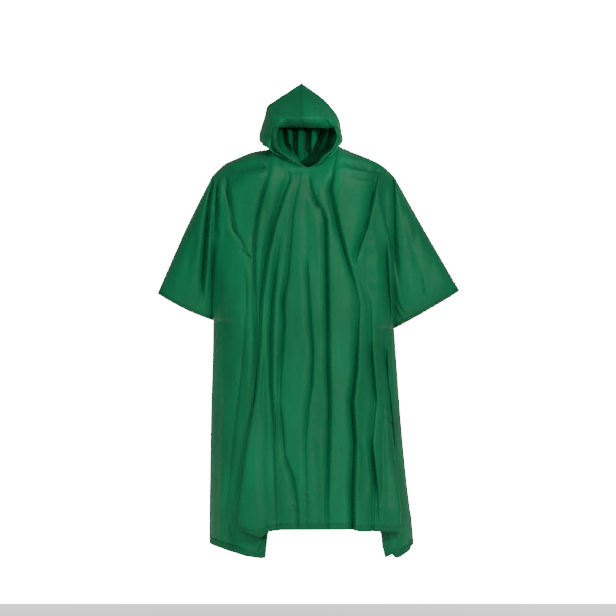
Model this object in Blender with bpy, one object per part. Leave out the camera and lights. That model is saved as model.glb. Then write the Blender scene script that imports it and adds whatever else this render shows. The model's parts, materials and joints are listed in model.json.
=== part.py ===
"""Hooded rain poncho, filled out as if worn, made of thin cloth walls.

Units are metres and +Z is up.  The front faces -Y, and +X is on the right of a person who
looks at the front.  The origin is the middle of the neck, at the height of the shoulders.
Each cloth piece is one closed wall: its outer points are worked out from the garment's sizes
and its folds, and its inner points are the same points moved in by the wall's thickness.
"""

import math

import bpy
import numpy as np

# ---------------------------------------------------------------- driving dimensions
CLOTH_WALL = 0.0014          # coated cloth with the air that its small creases hold
BAND_WALL = 0.0010           # extra layer of a turned hem
SEAM_GAP = 0.0003            # clear space between two pieces
MITRE_EASE = 0.02            # keeps the inward moves of nearly flat cloth straight
MITRE_LIMIT = 2.0            # longest inward move at a sharp fold, in wall thicknesses
HOOD_LIFT = 1.5 * SEAM_GAP   # height of the hood's lower edge over the panels' neckline
HOOD_EDGE_DROP = 0.8         # how far down, over outward, the hood's lower edge faces

SHOULDER_ROUND = 0.080       # how far below the shoulder line the cloth has turned down
SECTION_POWER = 2.8          # 2 is an oval plan, more is squarer
ARMHOLE_DEPTH = 0.056        # half depth between front and back at the armholes
SLEEVE_BULGE = 0.036         # half depth of the sleeve's mouth
SLEEVE_MID_BULGE = 0.012     # the same, half way up the sleeve
SLEEVE_FOLD_WIDTH = 0.016    # half width at which a sleeve's fold has its whole depth
ARMHOLE_POWER = 4            # how late the armhole closes on its way down to the armpit
SLEEVE_SHOULDER_POWER = 2.2  # how late the armhole's depth dies out along the sleeve
SLEEVE_SECTION_POWER = 0.65  # below 1 the sleeve's section is full near both edges
BILLOW = 0.10                # rise of the cloth between two folds, over their distance
SIDE_FADE = 0.030            # width beside a side seam over which folds die out
FOLD_START_ROW = 0.12        # row below which the folds have their whole depth
FOLD_TOP = 0.045             # how far down the folds begin
FOLD_TOP_FADE = 0.045        # and the stretch over which they deepen
FOLD_PASSES = 4              # tries at finding where a fold crosses a row
LAP_FOLLOW = 0.6             # share of a lap's sideways move at which the body's depth is read
CREASE_FALL = 1.5            # how soon a shoulder crease dies out sideways

ARMPIT_LEFT = (-0.264, -0.489)       # x, z
ARMPIT_RIGHT = (0.258, -0.513)

NECK_LEFT = (-0.093, 0.009)          # x, z where the neckline meets the shoulder line
NECK_RIGHT = (0.099, 0.017)
NECK_FRONT = (0.010, -0.100, -0.050)  # x, y, z of the lowest point in front
NECK_BACK = (-0.009, 0.072, -0.032)
NECK_DIP_POWER = 2.6                 # how soon the neckline dips beside the neck
HOOD_DIP_END = 0.50                  # how far up the hood follows the neckline's dip
HOOD_SEAM_X = -0.009                 # plane of the seam over the crown

COVER_ROWS = (0.04, 0.10, 0.17, 0.26, 0.37, 0.49, 0.61, 0.73, 0.85, 0.96, 1.0)
SKIRT_ROWS = (0.08, 0.17, 0.26, 0.35, 0.44, 0.53, 0.62, 0.71, 0.80, 0.89, 0.974, 1.0)
SLEEVE_COLUMNS = (0.07, 0.15, 0.26, 0.42, 0.60, 0.78, 0.92, 1.0)
SIDE_SHARES = (0.04, 0.13)   # extra columns between a side seam and the nearest fold
WIDE_SPACING = 0.045         # folds further apart than this get a column half way
SPACING_ROW = 1.5            # row at which that distance is read
HOOD_ROWS = (0.0, 0.08, 0.17, 0.26, 0.35, 0.45, 0.55, 0.66, 0.77, 0.88, 1.0)

COVER_TOP = 0.04             # how far down the folds' tables are read at the first row
COVER_END = 0.50             # the same at the armpits
SKIRT_END = 1.13             # the same at the hem

GREEN = (0.012, 0.155, 0.068, 1.0)
BAND_GREEN = (0.010, 0.135, 0.060, 1.0)
CLOTH_ROUGHNESS = 0.42
SHARP_ANGLE = math.radians(50)

# Shoulder line outwards from the neck: x, z
SHOULDER_LEFT = ((-0.118, 0.004), (-0.145, 0.000), (-0.189, -0.017), (-0.229, -0.035),
                 (-0.249, -0.052), (-0.267, -0.070))
SHOULDER_RIGHT = ((0.116, 0.008), (0.133, 0.000), (0.177, -0.017), (0.215, -0.035),
                  (0.238, -0.052), (0.258, -0.072))

# Upper edge of each sleeve from the shoulder to the tip: x, z
SLEEVE_TOP_LEFT = ((-0.267, -0.070), (-0.276, -0.088), (-0.302, -0.139), (-0.345, -0.226),
                   (-0.426, -0.411))
SLEEVE_TOP_RIGHT = ((0.258, -0.072), (0.268, -0.088), (0.296, -0.139), (0.345, -0.226),
                    (0.448, -0.403))

# Side outline of the body below the armpits: down, left x, right x
SIDE_EDGE = (
    (0.500, -0.264, 0.258),
    (0.580, -0.265, 0.264),
    (0.750, -0.270, 0.277),
    (0.920, -0.273, 0.293),
    (1.080, -0.275, 0.311),
    (1.180, -0.275, 0.318),
)

# Lower edge, read across the cloth before it is folded: x, down
HEM_FRONT = (
    (-0.275, 1.134), (-0.229, 1.151), (-0.186, 1.167), (-0.160, 1.173), (-0.129, 1.099),
    (-0.090, 1.095), (-0.067, 1.088), (0.133, 1.087), (0.159, 1.093), (0.215, 1.093),
    (0.233, 1.100), (0.259, 1.174), (0.287, 1.160), (0.318, 1.138),
)
HEM_BACK = (
    (-0.275, 1.134), (-0.230, 1.142), (-0.170, 1.132), (-0.120, 1.098), (-0.070, 1.078),
    (0.000, 1.070), (0.100, 1.074), (0.180, 1.084), (0.235, 1.118), (0.280, 1.144),
    (0.318, 1.138),
)

# Half depth of the body: down, front, back
BODY_DEPTH = (
    (0.000, 0.090, 0.080),
    (0.060, 0.116, 0.114),
    (0.150, 0.130, 0.138),
    (0.300, 0.134, 0.140),
    (0.500, 0.138, 0.136),
    (0.800, 0.148, 0.144),
    (1.150, 0.164, 0.158),
)

# Folds, each from the shoulder to the hem: name, kind, half width at the top, half width at
# the hem, stations.  Columns of a station: down, x, depth.
# Columns of a lap's station: down, x, depth, overlap, lift.
TROUGH = "trough"
LAP_LEFT = "lap with its front layer on the right"
LAP_RIGHT = "lap with its front layer on the left"

FRONT_FOLDS = (
    ("outer left", TROUGH, 0.013, 0.013, (
        (0.07, -0.226, 0.002), (0.14, -0.211, 0.007), (0.22, -0.200, 0.006),
        (0.31, -0.170, 0.005), (0.60, -0.176, 0.004), (0.80, -0.200, 0.003),
        (1.18, -0.236, 0.005))),
    ("left chest", TROUGH, 0.013, 0.015, (
        (0.075, -0.104, 0.006), (0.125, -0.116, 0.012), (0.18, -0.130, 0.013),
        (0.24, -0.139, 0.013), (0.30, -0.142, 0.010), (0.52, -0.150, 0.009),
        (0.66, -0.167, 0.003), (1.18, -0.206, 0.003))),
    ("left lap", LAP_LEFT, 0.014, 0.038, (
        (0.075, -0.038, 0.006, 0.000, 0.000), (0.11, -0.052, 0.013, 0.000, 0.000),
        (0.21, -0.084, 0.015, 0.000, 0.001), (0.30, -0.104, 0.015, 0.000, 0.001),
        (0.43, -0.122, 0.014, 0.000, 0.002), (0.56, -0.130, 0.013, 0.000, 0.003),
        (0.66, -0.139, 0.005, 0.001, 0.014), (0.76, -0.146, 0.000, 0.015, 0.026),
        (0.98, -0.150, 0.000, 0.040, 0.034), (1.18, -0.145, 0.000, 0.056, 0.038))),
    ("left inner", TROUGH, 0.012, 0.013, (
        (0.06, -0.018, 0.000), (0.22, -0.066, 0.000), (0.31, -0.077, 0.006),
        (0.37, -0.081, 0.014),
        (0.52, -0.090, 0.015), (0.68, -0.090, 0.013), (0.80, -0.083, 0.008),
        (1.18, -0.073, 0.005))),
    ("left of centre", TROUGH, 0.012, 0.013, (
        (0.06, -0.004, 0.000), (0.12, -0.020, 0.004), (0.26, -0.038, 0.007),
        (0.43, -0.058, 0.013),
        (0.60, -0.062, 0.010), (0.74, -0.061, 0.006), (0.87, -0.053, 0.008),
        (0.96, -0.026, 0.009), (1.18, -0.017, 0.003))),
    ("centre", TROUGH, 0.012, 0.013, (
        (0.06, 0.004, 0.000), (0.30, 0.006, 0.000), (0.34, 0.009, 0.006), (0.46, 0.017, 0.008),
        (0.60, 0.026, 0.011), (0.73, 0.012, 0.009), (0.84, 0.005, 0.006),
        (1.18, 0.010, 0.002))),
    ("right of centre", TROUGH, 0.013, 0.014, (
        (0.06, 0.014, 0.003), (0.09, 0.016, 0.007), (0.13, 0.030, 0.010),
        (0.20, 0.062, 0.012),
        (0.31, 0.067, 0.014), (0.63, 0.072, 0.016), (0.86, 0.072, 0.013),
        (1.18, 0.070, 0.004))),
    ("right chest", TROUGH, 0.013, 0.018, (
        (0.075, 0.081, 0.008), (0.11, 0.080, 0.014), (0.155, 0.087, 0.014),
        (0.24, 0.107, 0.015), (0.31, 0.125, 0.014), (0.37, 0.142, 0.009),
        (0.44, 0.155, 0.007), (0.54, 0.154, 0.012), (0.72, 0.143, 0.020),
        (1.18, 0.144, 0.019))),
    ("right armhole", TROUGH, 0.013, 0.015, (
        (0.07, 0.211, 0.008), (0.11, 0.197, 0.014), (0.19, 0.180, 0.013),
        (0.24, 0.171, 0.014), (0.28, 0.163, 0.010), (0.33, 0.172, 0.003),
        (0.40, 0.190, 0.005), (0.71, 0.198, 0.007), (0.90, 0.198, 0.010),
        (1.18, 0.200, 0.006))),
    ("right lap", LAP_RIGHT, 0.014, 0.028, (
        (0.06, 0.240, 0.000, 0.000, 0.000), (0.30, 0.232, 0.006, 0.000, 0.002),
        (0.60, 0.234, 0.009, 0.001, 0.004), (0.78, 0.248, 0.003, 0.009, 0.018),
        (0.98, 0.252, 0.000, 0.028, 0.028), (1.18, 0.246, 0.000, 0.045, 0.032))),
)
BACK_FOLDS = (
    ("outer left", TROUGH, 0.014, 0.016, (
        (0.07, -0.232, 0.002), (0.30, -0.214, 0.010), (0.60, -0.220, 0.008),
        (1.18, -0.234, 0.012))),
    ("left blade", TROUGH, 0.014, 0.018, (
        (0.06, -0.140, 0.002), (0.20, -0.156, 0.013), (0.50, -0.168, 0.015),
        (0.85, -0.172, 0.010), (1.18, -0.182, 0.017))),
    ("left back", LAP_LEFT, 0.014, 0.028, (
        (0.03, -0.064, 0.003, 0.000, 0.000), (0.20, -0.090, 0.013, 0.000, 0.002),
        (0.62, -0.112, 0.014, 0.001, 0.005), (0.80, -0.116, 0.003, 0.010, 0.020),
        (1.18, -0.112, 0.000, 0.030, 0.032))),
    ("left spine", TROUGH, 0.013, 0.016, (
        (0.03, -0.022, 0.003), (0.30, -0.040, 0.010), (0.60, -0.054, 0.014),
        (1.18, -0.046, 0.010))),
    ("spine", TROUGH, 0.013, 0.015, (
        (0.03, 0.012, 0.002), (0.35, 0.008, 0.007), (0.70, -0.004, 0.012),
        (1.18, 0.006, 0.009))),
    ("right spine", TROUGH, 0.013, 0.017, (
        (0.03, 0.046, 0.004), (0.25, 0.058, 0.013), (0.60, 0.066, 0.015),
        (1.18, 0.060, 0.014))),
    ("right blade", TROUGH, 0.014, 0.018, (
        (0.05, 0.094, 0.003), (0.22, 0.126, 0.014), (0.55, 0.136, 0.012),
        (0.90, 0.128, 0.017), (1.18, 0.130, 0.018))),
    ("outer right", TROUGH, 0.014, 0.018, (
        (0.06, 0.200, 0.003), (0.25, 0.204, 0.012), (0.50, 0.208, 0.009),
        (0.90, 0.216, 0.014), (1.18, 0.236, 0.016))),
)

# Creases across the shoulders, below the seam: x and z of both ends, half width, depth
FRONT_SHOULDER_CREASES = (
    (-0.215, -0.046, -0.100, -0.040, 0.016, 0.007),
    (-0.250, -0.078, -0.172, -0.074, 0.014, 0.006),
    (0.106, -0.034, 0.214, -0.048, 0.016, 0.007),
    (0.124, -0.066, 0.190, -0.082, 0.014, 0.005),
)
BACK_SHOULDER_CREASES = (
    (-0.205, -0.050, -0.105, -0.044, 0.016, 0.006),
    (0.100, -0.042, 0.206, -0.058, 0.016, 0.007),
)

# Folds that run down the sleeves: place across, half width across, depth, first and last row
SLEEVE_FOLDS = {
    ("front", "left"): ((0.15, 0.10, 0.010, 0.06, 0.80), (0.60, 0.20, 0.004, 0.25, 1.10)),
    ("front", "right"): ((0.15, 0.12, -0.006, 0.06, 0.95), (0.42, 0.18, 0.005, 0.30, 1.10)),
    ("back", "left"): ((0.26, 0.14, 0.008, 0.10, 0.95),),
    ("back", "right"): ((0.15, 0.11, 0.009, 0.06, 0.85), (0.60, 0.20, 0.004, 0.30, 1.10)),
}

SLEEVE_SAG = {"left": 0.006, "right": 0.002}     # of the middle of each sleeve's mouth

# Section of a lap across the cloth: place, sideways, lift of the front layer
LAP_SECTION = (
    (-1.00, 0.00, 0.00), (-0.70, 0.50, -0.42), (-0.50, 0.96, -0.50), (-0.42, 1.00, -0.36),
    (-0.32, 0.84, -0.22), (0.00, 0.00, 0.00), (0.32, -0.84, 0.22), (0.42, -1.00, 0.36),
    (0.50, -0.96, 0.50), (0.70, -0.50, 0.42), (1.00, 0.00, 0.00),
)

# Hood halves from the neck to the crown seam.  Columns: place up the half, face edge x, y, z,
# side x, y, z, back seam y, z
HOOD_LEFT = (
    (0.10, -0.022, -0.103, -0.030, -0.108, -0.004, 0.022, 0.079, -0.006),
    (0.20, -0.048, -0.104, -0.012, -0.128, -0.004, 0.030, 0.089, 0.010),
    (0.32, -0.074, -0.102, 0.010, -0.129, 0.000, 0.046, 0.096, 0.028),
    (0.45, -0.081, -0.102, 0.041, -0.124, 0.000, 0.072, 0.100, 0.044),
    (0.58, -0.073, -0.110, 0.066, -0.117, 0.000, 0.102, 0.101, 0.060),
    (0.70, -0.058, -0.122, 0.068, -0.110, 0.000, 0.131, 0.100, 0.076),
    (0.80, -0.041, -0.128, 0.069, -0.080, 0.000, 0.153, 0.098, 0.088),
    (0.90, -0.025, -0.131, 0.070, -0.045, 0.000, 0.176, 0.097, 0.097),
    (1.00, -0.009, -0.133, 0.070, -0.009, 0.000, 0.200, 0.096, 0.104),
)
HOOD_RIGHT = (
    (0.10, 0.038, -0.103, -0.034, 0.105, -0.004, 0.027, 0.079, -0.006),
    (0.20, 0.050, -0.104, -0.018, 0.109, -0.004, 0.031, 0.089, 0.010),
    (0.32, 0.079, -0.102, 0.006, 0.110, 0.000, 0.038, 0.096, 0.028),
    (0.45, 0.093, -0.100, 0.040, 0.106, 0.000, 0.060, 0.100, 0.044),
    (0.58, 0.086, -0.107, 0.065, 0.101, 0.000, 0.088, 0.101, 0.060),
    (0.70, 0.066, -0.120, 0.067, 0.093, 0.000, 0.108, 0.100, 0.076),
    (0.80, 0.044, -0.127, 0.068, 0.071, 0.000, 0.134, 0.098, 0.088),
    (0.90, 0.020, -0.131, 0.069, 0.036, 0.000, 0.170, 0.097, 0.097),
    (1.00, -0.009, -0.133, 0.070, -0.009, 0.000, 0.200, 0.096, 0.104),
)

# Gathers in the back of the hood, one row for each column of points: place round, outward
HOOD_COLUMNS_LEFT = (
    (0.000, 0.000), (0.055, 0.000), (0.140, 0.000), (0.230, 0.000), (0.320, 0.000),
    (0.410, 0.000), (0.500, 0.000), (0.580, 0.000), (0.660, 0.002), (0.730, 0.006),
    (0.780, -0.006), (0.830, 0.009), (0.875, -0.007), (0.920, 0.010), (0.960, -0.004),
    (1.000, -0.006),
)
HOOD_COLUMNS_RIGHT = (
    (0.000, 0.000), (0.055, 0.000), (0.140, 0.000), (0.230, 0.000), (0.320, 0.000),
    (0.410, 0.000), (0.500, 0.000), (0.580, 0.000), (0.660, 0.000), (0.720, -0.004),
    (0.780, 0.008), (0.835, -0.007), (0.880, 0.009), (0.925, -0.006), (0.965, 0.009),
    (1.000, -0.006),
)
GATHER_ROWS = ((0.00, 0.0), (0.12, 1.0), (0.45, 1.0), (0.80, 0.25), (1.00, 0.0))


# ---------------------------------------------------------------- reading the tables
def slopes(places, values):
    """Slopes of a smooth line through the stations that never overshoots them."""
    steps = np.diff(places)
    rises = np.diff(values) / steps
    result = np.zeros(len(places))
    result[0] = rises[0]
    result[-1] = rises[-1]
    for index in range(1, len(places) - 1):
        before = rises[index - 1]
        after = rises[index]
        if before * after > 0.0:
            result[index] = 2.0 * before * after / (before + after)
    return result


def read_table(table, at):
    """Every column after the first, read smoothly at one place of the first column."""
    rows = np.array(table, dtype=float)
    places = rows[:, 0]
    at = min(max(at, places[0]), places[-1])
    index = min(int(np.searchsorted(places, at, side="right")) - 1, len(places) - 2)
    step = places[index + 1] - places[index]
    share = (at - places[index]) / step
    result = []
    for column in range(1, rows.shape[1]):
        values = rows[:, column]
        slope = slopes(places, values)
        result.append(
            (1 + 2 * share) * (1 - share) ** 2 * values[index]
            + share * (1 - share) ** 2 * step * slope[index]
            + share ** 2 * (3 - 2 * share) * values[index + 1]
            + share ** 2 * (share - 1) * step * slope[index + 1]
        )
    return result


def read_line(table, at):
    """One value, read along straight runs between the stations."""
    rows = np.array(table, dtype=float)
    return float(np.interp(at, rows[:, 0], rows[:, 1]))


def mix(start, end, share):
    return start + (end - start) * share


def quarter_round(share):
    """Rise of a quarter circle from 0 at the edge to 1."""
    share = min(max(share, 0.0), 1.0)
    return math.sqrt(1.0 - (1.0 - share) ** 2)


def along(path, share):
    """Point at a share of a path's length."""
    points = np.array(path, dtype=float)
    lengths = np.concatenate(([0.0], np.cumsum(np.linalg.norm(np.diff(points, axis=0), axis=1))))
    at = share * lengths[-1]
    return (float(np.interp(at, lengths, points[:, 0])), float(np.interp(at, lengths, points[:, 1])))


# ---------------------------------------------------------------- neckline
def neck_point(hand, place):
    """Neckline point and its outward direction.  Place runs from 0 in front to 1 behind."""
    side_x, side_z = NECK_LEFT if hand == "left" else NECK_RIGHT
    middle_x, middle_y, middle_z = NECK_FRONT if place <= 0.5 else NECK_BACK
    turn = place * math.pi if place <= 0.5 else (1.0 - place) * math.pi
    reach = side_x - middle_x
    point = (
        middle_x + reach * math.sin(turn),
        middle_y * math.cos(turn),
        side_z + (middle_z - side_z) * max(math.cos(turn), 0.0) ** NECK_DIP_POWER,
    )
    outward = np.array((math.sin(turn) / reach, math.cos(turn) / middle_y, 0.0))
    return point, outward / np.linalg.norm(outward)


def hood_columns(hand):
    return HOOD_COLUMNS_LEFT if hand == "left" else HOOD_COLUMNS_RIGHT


def neck_half(side, hand):
    """Neckline points of one quarter, from the middle of the panel to the shoulder line."""
    places = [place for place, _ in hood_columns(hand)]
    if side == "front":
        chosen = [place for place in places if place <= 0.5]
    else:
        chosen = [place for place in reversed(places) if place >= 0.5]
    return [neck_point(hand, place) for place in chosen]


# ---------------------------------------------------------------- walls
def inward_moves(points, faces, held):
    """Move of each point for a unit wall, so that every face near it moves in by one unit.

    A held point keeps to its seam's plane, whose axis is given, or moves straight along a
    given direction.
    """
    count = len(points)
    squares = np.zeros((count, 3, 3))
    sums = np.zeros((count, 3))
    for face in faces:
        corners = points[list(face)]
        normal = np.cross(corners[1] - corners[0], corners[2] - corners[0])
        normal /= np.linalg.norm(normal)
        for place, index in enumerate(face):
            ahead = corners[(place + 1) % 3] - corners[place]
            behind = corners[place - 1] - corners[place]
            cosine = np.dot(ahead, behind) / (np.linalg.norm(ahead) * np.linalg.norm(behind))
            weight = math.acos(min(max(cosine, -1.0), 1.0))
            squares[index] += weight * np.outer(normal, normal)
            sums[index] -= weight * normal
    moves = np.zeros((count, 3))
    for index in range(count):
        rule = held.get(index)
        if rule is not None and not isinstance(rule, int):
            moves[index] = -np.array(rule)
            continue
        free = [axis for axis in range(3) if axis != rule]
        square = squares[index][np.ix_(free, free)]
        square = square + np.eye(len(free)) * MITRE_EASE * np.trace(square)
        moves[index][free] = np.linalg.solve(square, sums[index][free])
        length = np.linalg.norm(moves[index])
        moves[index] *= min(max(length, 1.0), MITRE_LIMIT) / length
    return moves


def boundary_edges(faces):
    edges = {}
    for face in faces:
        for start, end in zip(face, face[1:] + face[:1]):
            edges[(start, end)] = True
    return [edge for edge in edges if (edge[1], edge[0]) not in edges]


def triangles(points, faces, held):
    """The faces cut in two, along the shorter diagonal unless that leaves one in a seam."""
    result = []
    for face in faces:
        if len(face) == 3:
            result.append(face)
            continue
        a, b, c, d = face
        cuts = [((a, b, c), (a, c, d)), ((a, b, d), (b, c, d))]
        if np.linalg.norm(points[b] - points[d]) < np.linalg.norm(points[a] - points[c]):
            cuts.reverse()
        if any(all(index in held for index in half) for half in cuts[0]):
            cuts.reverse()
        result += cuts[0]
    return result


def closed_wall(outer, inner, faces):
    """Outer skin, inner skin and the edge between them, as one closed body."""
    count = len(outer)
    skins = list(faces)
    skins += [tuple(count + index for index in reversed(face)) for face in faces]
    skins += [(end, start, count + start, count + end) for start, end in boundary_edges(faces)]
    return np.vstack((outer, inner)), skins


def make_material(name, colour, roughness):
    material = bpy.data.materials.new(name)
    material.use_nodes = True
    shader = material.node_tree.nodes["Principled BSDF"]
    shader.inputs["Base Color"].default_value = colour
    shader.inputs["Roughness"].default_value = roughness
    shader.inputs["Metallic"].default_value = 0.0
    return material


def make_object(name, points, faces, colour):
    mesh = bpy.data.meshes.new(name)
    mesh.from_pydata([tuple(point) for point in points], [], [tuple(face) for face in faces])
    mesh.validate()
    mesh.update()
    mesh.shade_smooth()
    mesh.set_sharp_from_angle(angle=SHARP_ANGLE)
    mesh.materials.append(make_material(name, colour, CLOTH_ROUGHNESS))
    piece = bpy.data.objects.new(name, mesh)
    bpy.context.scene.collection.objects.link(piece)
    return piece


class Skin:
    """Outer points and faces of one cloth piece, with the rules for its seam points."""

    def __init__(self):
        self.points = []
        self.faces = []
        self.held = {}

    def add(self, point, rule=None):
        self.points.append(np.array(point, dtype=float))
        index = len(self.points) - 1
        if rule is not None:
            self.held[index] = rule
        return index

    def array(self):
        return np.array(self.points)

    def finish(self, faces):
        """Cut the faces into triangles and work out how each point moves for a wall."""
        self.faces = triangles(self.array(), faces, self.held)
        self.moves = inward_moves(self.array(), self.faces, self.held)

    def wall(self, thickness):
        outer = self.array()
        return closed_wall(outer, outer + self.moves * thickness, self.faces)


# ---------------------------------------------------------------- front and back panels
class Panel:
    """Front or back: one piece of cloth that covers half the body and half of both arms."""

    FLANK = 0.30                 # share of the way to the next fold that a fold's flank takes
    CROWDING = 0.42              # most of that way in real width

    def __init__(self, side):
        self.side = side
        self.sign = -1.0 if side == "front" else 1.0
        self.folds = FRONT_FOLDS if side == "front" else BACK_FOLDS
        self.hem = HEM_FRONT if side == "front" else HEM_BACK
        self.creases = FRONT_SHOULDER_CREASES if side == "front" else BACK_SHOULDER_CREASES
        self.depth_column = 0 if side == "front" else 1
        self.top = self.top_edge()

    def top_edge(self):
        """Points of the shoulder line and neckline, left to right, each with its rule."""
        seam_y = self.sign * SEAM_GAP / 2
        points = []
        for x, z in reversed(SHOULDER_LEFT):
            points.append(((x, seam_y, z), 1))
        for hand in ("left", "right"):
            half = neck_half(self.side, hand)
            if hand == "left":
                half = half[::-1]
            else:
                half = half[1:]
            for (x, y, z), outward in half:
                clear_y = self.sign * max(abs(y), SEAM_GAP / 2)
                rule = (outward + (0.0, 0.0, 1.0)) / math.sqrt(2.0)
                points.append(((x, clear_y, z), rule))
        for x, z in SHOULDER_RIGHT:
            points.append(((x, seam_y, z), 1))
        return points

    def top_at(self, x):
        xs = [point[0][0] for point in self.top]
        y = float(np.interp(x, xs, [abs(point[0][1]) for point in self.top]))
        z = float(np.interp(x, xs, [point[0][2] for point in self.top]))
        return y, z

    def edges(self, row):
        """Left and right x of the body at a row: armhole lines above, side seams below."""
        if row <= 1.0:
            left = mix(SLEEVE_TOP_LEFT[0][0], ARMPIT_LEFT[0], row)
            right = mix(SLEEVE_TOP_RIGHT[0][0], ARMPIT_RIGHT[0], row)
            return left, right
        return read_table(SIDE_EDGE, self.down(row))

    @staticmethod
    def down(row):
        if row <= 1.0:
            return mix(COVER_TOP, COVER_END, row)
        return mix(COVER_END, SKIRT_END, row - 1.0)

    def armhole_depth(self, row):
        """Half depth at the armhole line or side seam, before the shoulder turns down."""
        if row > 1.0:
            return SEAM_GAP / 2
        pinched = CLOTH_WALL + SEAM_GAP
        return pinched + (ARMHOLE_DEPTH - pinched) * math.sqrt(1.0 - row ** ARMHOLE_POWER)

    def height(self, x, row):
        across = (x - ARMPIT_LEFT[0]) / (ARMPIT_RIGHT[0] - ARMPIT_LEFT[0])
        middle = mix(ARMPIT_LEFT[1], ARMPIT_RIGHT[1], across)
        if row <= 1.0:
            return mix(self.top_at(x)[1], middle, row)
        return mix(middle, -read_line(self.hem, x), row - 1.0)

    def base(self, x, row, left, right):
        """Depth of the unfolded cloth."""
        z = self.height(x, row)
        share = min(abs(x / (left if x < 0.0 else right)), 1.0)
        full = read_table(BODY_DEPTH, self.down(row))[self.depth_column]
        edge = self.armhole_depth(row)
        depth = edge + (full - edge) * math.sqrt(max(1.0 - share ** SECTION_POWER, 0.0))
        top_y, top_z = self.top_at(x)
        turned = quarter_round((top_z - z) / SHOULDER_ROUND)
        return top_y + (depth - top_y) * turned

    def guides(self, row):
        """Edges and folds at a row: x, half width, depth, overlap, lift, kind."""
        left, right = self.edges(row)
        lines = [(left, SIDE_FADE, 0.0, 0.0, 0.0, TROUGH)]
        share = (self.down(row) - COVER_TOP) / (SKIRT_END - COVER_TOP)
        for _, kind, top_width, hem_width, stations in self.folds:
            values = self.fold_at(stations, row)
            width = mix(top_width, hem_width, share ** 2)
            lines.append((values[0], width, values[1], values[2], values[3], kind))
        lines.append((right, SIDE_FADE, 0.0, 0.0, 0.0, TROUGH))
        return lines

    def fold_at(self, stations, row):
        """Place, depth, overlap and lift of a fold where it crosses a row of the cloth."""
        table = np.array(stations)
        down = self.down(row)
        for _ in range(FOLD_PASSES):
            values = [float(np.interp(down, table[:, 0], column)) for column in table.T[1:]]
            down = -self.height(values[0], row)
        values[1] *= min(max((down - FOLD_TOP) / FOLD_TOP_FADE, 0.0), 1.0)
        return values + [0.0] * (4 - len(values))

    def body_point(self, lines, row, fold, share):
        """Cloth point a share of the way from one fold to the next, and its unfolded x."""
        here = lines[fold]
        following = lines[min(fold + 1, len(lines) - 1)]
        distance = following[0] - here[0]
        near = min(here[1], self.CROWDING * distance)
        far = min(following[1], self.CROWDING * distance)
        if share <= self.FLANK:
            place = share / self.FLANK
            x = here[0] + near * place
            owner, half, room = here, place, near
        elif share >= 1.0 - self.FLANK:
            place = (1.0 - share) / self.FLANK
            x = following[0] - far * place
            owner, half, room = following, -place, far
        else:
            x = mix(here[0] + near, following[0] - far,
                    (share - self.FLANK) / (1.0 - 2 * self.FLANK))
            owner, half, room = here, 1.0, near
        width, depth, overlap, lift, kind = owner[1:]
        fullness = min(room / width, 1.0) ** 2
        sideways = 0.0
        inward = depth * fullness * math.cos(half * math.pi / 2) ** 2
        if kind != TROUGH:
            across, raised = read_table(LAP_SECTION, half)
            facing = 1.0 if kind == LAP_LEFT else -1.0
            sideways = overlap * across
            inward -= lift * raised * facing
        billow = BILLOW * distance * math.sin(math.pi * share) ** 2
        left, right = lines[0][0], lines[-1][0]
        depth_here = self.base(x + LAP_FOLLOW * sideways, row, left, right)
        z = self.height(x, row)
        settled = quarter_round(row / FOLD_START_ROW)
        inward = (inward - billow) * settled * self.side_fade(x, left, right)
        inward += self.crease(x, z) * settled
        return (x + sideways, self.sign * (depth_here - inward), z), x

    @staticmethod
    def side_fade(x, left, right):
        """Folds and billows die out just before the side seams."""
        clearance = min(x - left, right - x)
        return min(max(clearance / SIDE_FADE, 0.0), 1.0)

    def crease(self, x, z):
        total = 0.0
        for x0, z0, x1, z1, width, depth in self.creases:
            run = np.array((x1 - x0, z1 - z0))
            place = float(np.dot((x - x0, z - z0), run) / np.dot(run, run))
            nearest = min(max(place, 0.0), 1.0)
            away = math.hypot(x - x0 - nearest * run[0], z - z0 - nearest * run[1]) / width
            total += depth * math.exp(-away * away * CREASE_FALL)
        return total

    def sleeve_point(self, hand, row, across):
        """Point of the sleeve from its armhole line, 0, to its upper edge, 1."""
        top_line = SLEEVE_TOP_LEFT if hand == "left" else SLEEVE_TOP_RIGHT
        armpit = ARMPIT_LEFT if hand == "left" else ARMPIT_RIGHT
        start_x = mix(top_line[0][0], armpit[0], row)
        start_z = mix(top_line[0][1], armpit[1], row)
        end_x, end_z = along(top_line, row)
        turned = quarter_round((top_line[0][1] - start_z) / SHOULDER_ROUND)
        fading = math.sqrt(max(1.0 - across ** SLEEVE_SHOULDER_POWER, 0.0))
        shoulder = self.armhole_depth(row) * fading
        swell = mix(SLEEVE_MID_BULGE, SLEEVE_BULGE, row ** 2)
        bulge = swell * (4.0 * across * (1.0 - across)) ** SLEEVE_SECTION_POWER
        depth = shoulder + bulge
        breadth = math.hypot(end_x - start_x, end_z - start_z)
        for place, width, hollow, first, last in SLEEVE_FOLDS[(self.side, hand)]:
            offset = (across - place) / width
            length = (row - first) / (last - first)
            if abs(offset) < 1.0 and 0.0 < length < 1.0:
                fullness = min(width * breadth / SLEEVE_FOLD_WIDTH, 1.0) ** 2
                taper = math.sin(math.pi * length) * fullness
                depth -= hollow * math.cos(offset * math.pi / 2) ** 2 * taper
        depth = max(depth * turned, SEAM_GAP / 2)
        sag = SLEEVE_SAG[hand] * row ** 3 * math.sin(math.pi * across)
        return mix(start_x, end_x, across), self.sign * depth, mix(start_z, end_z, across) - sag

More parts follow.
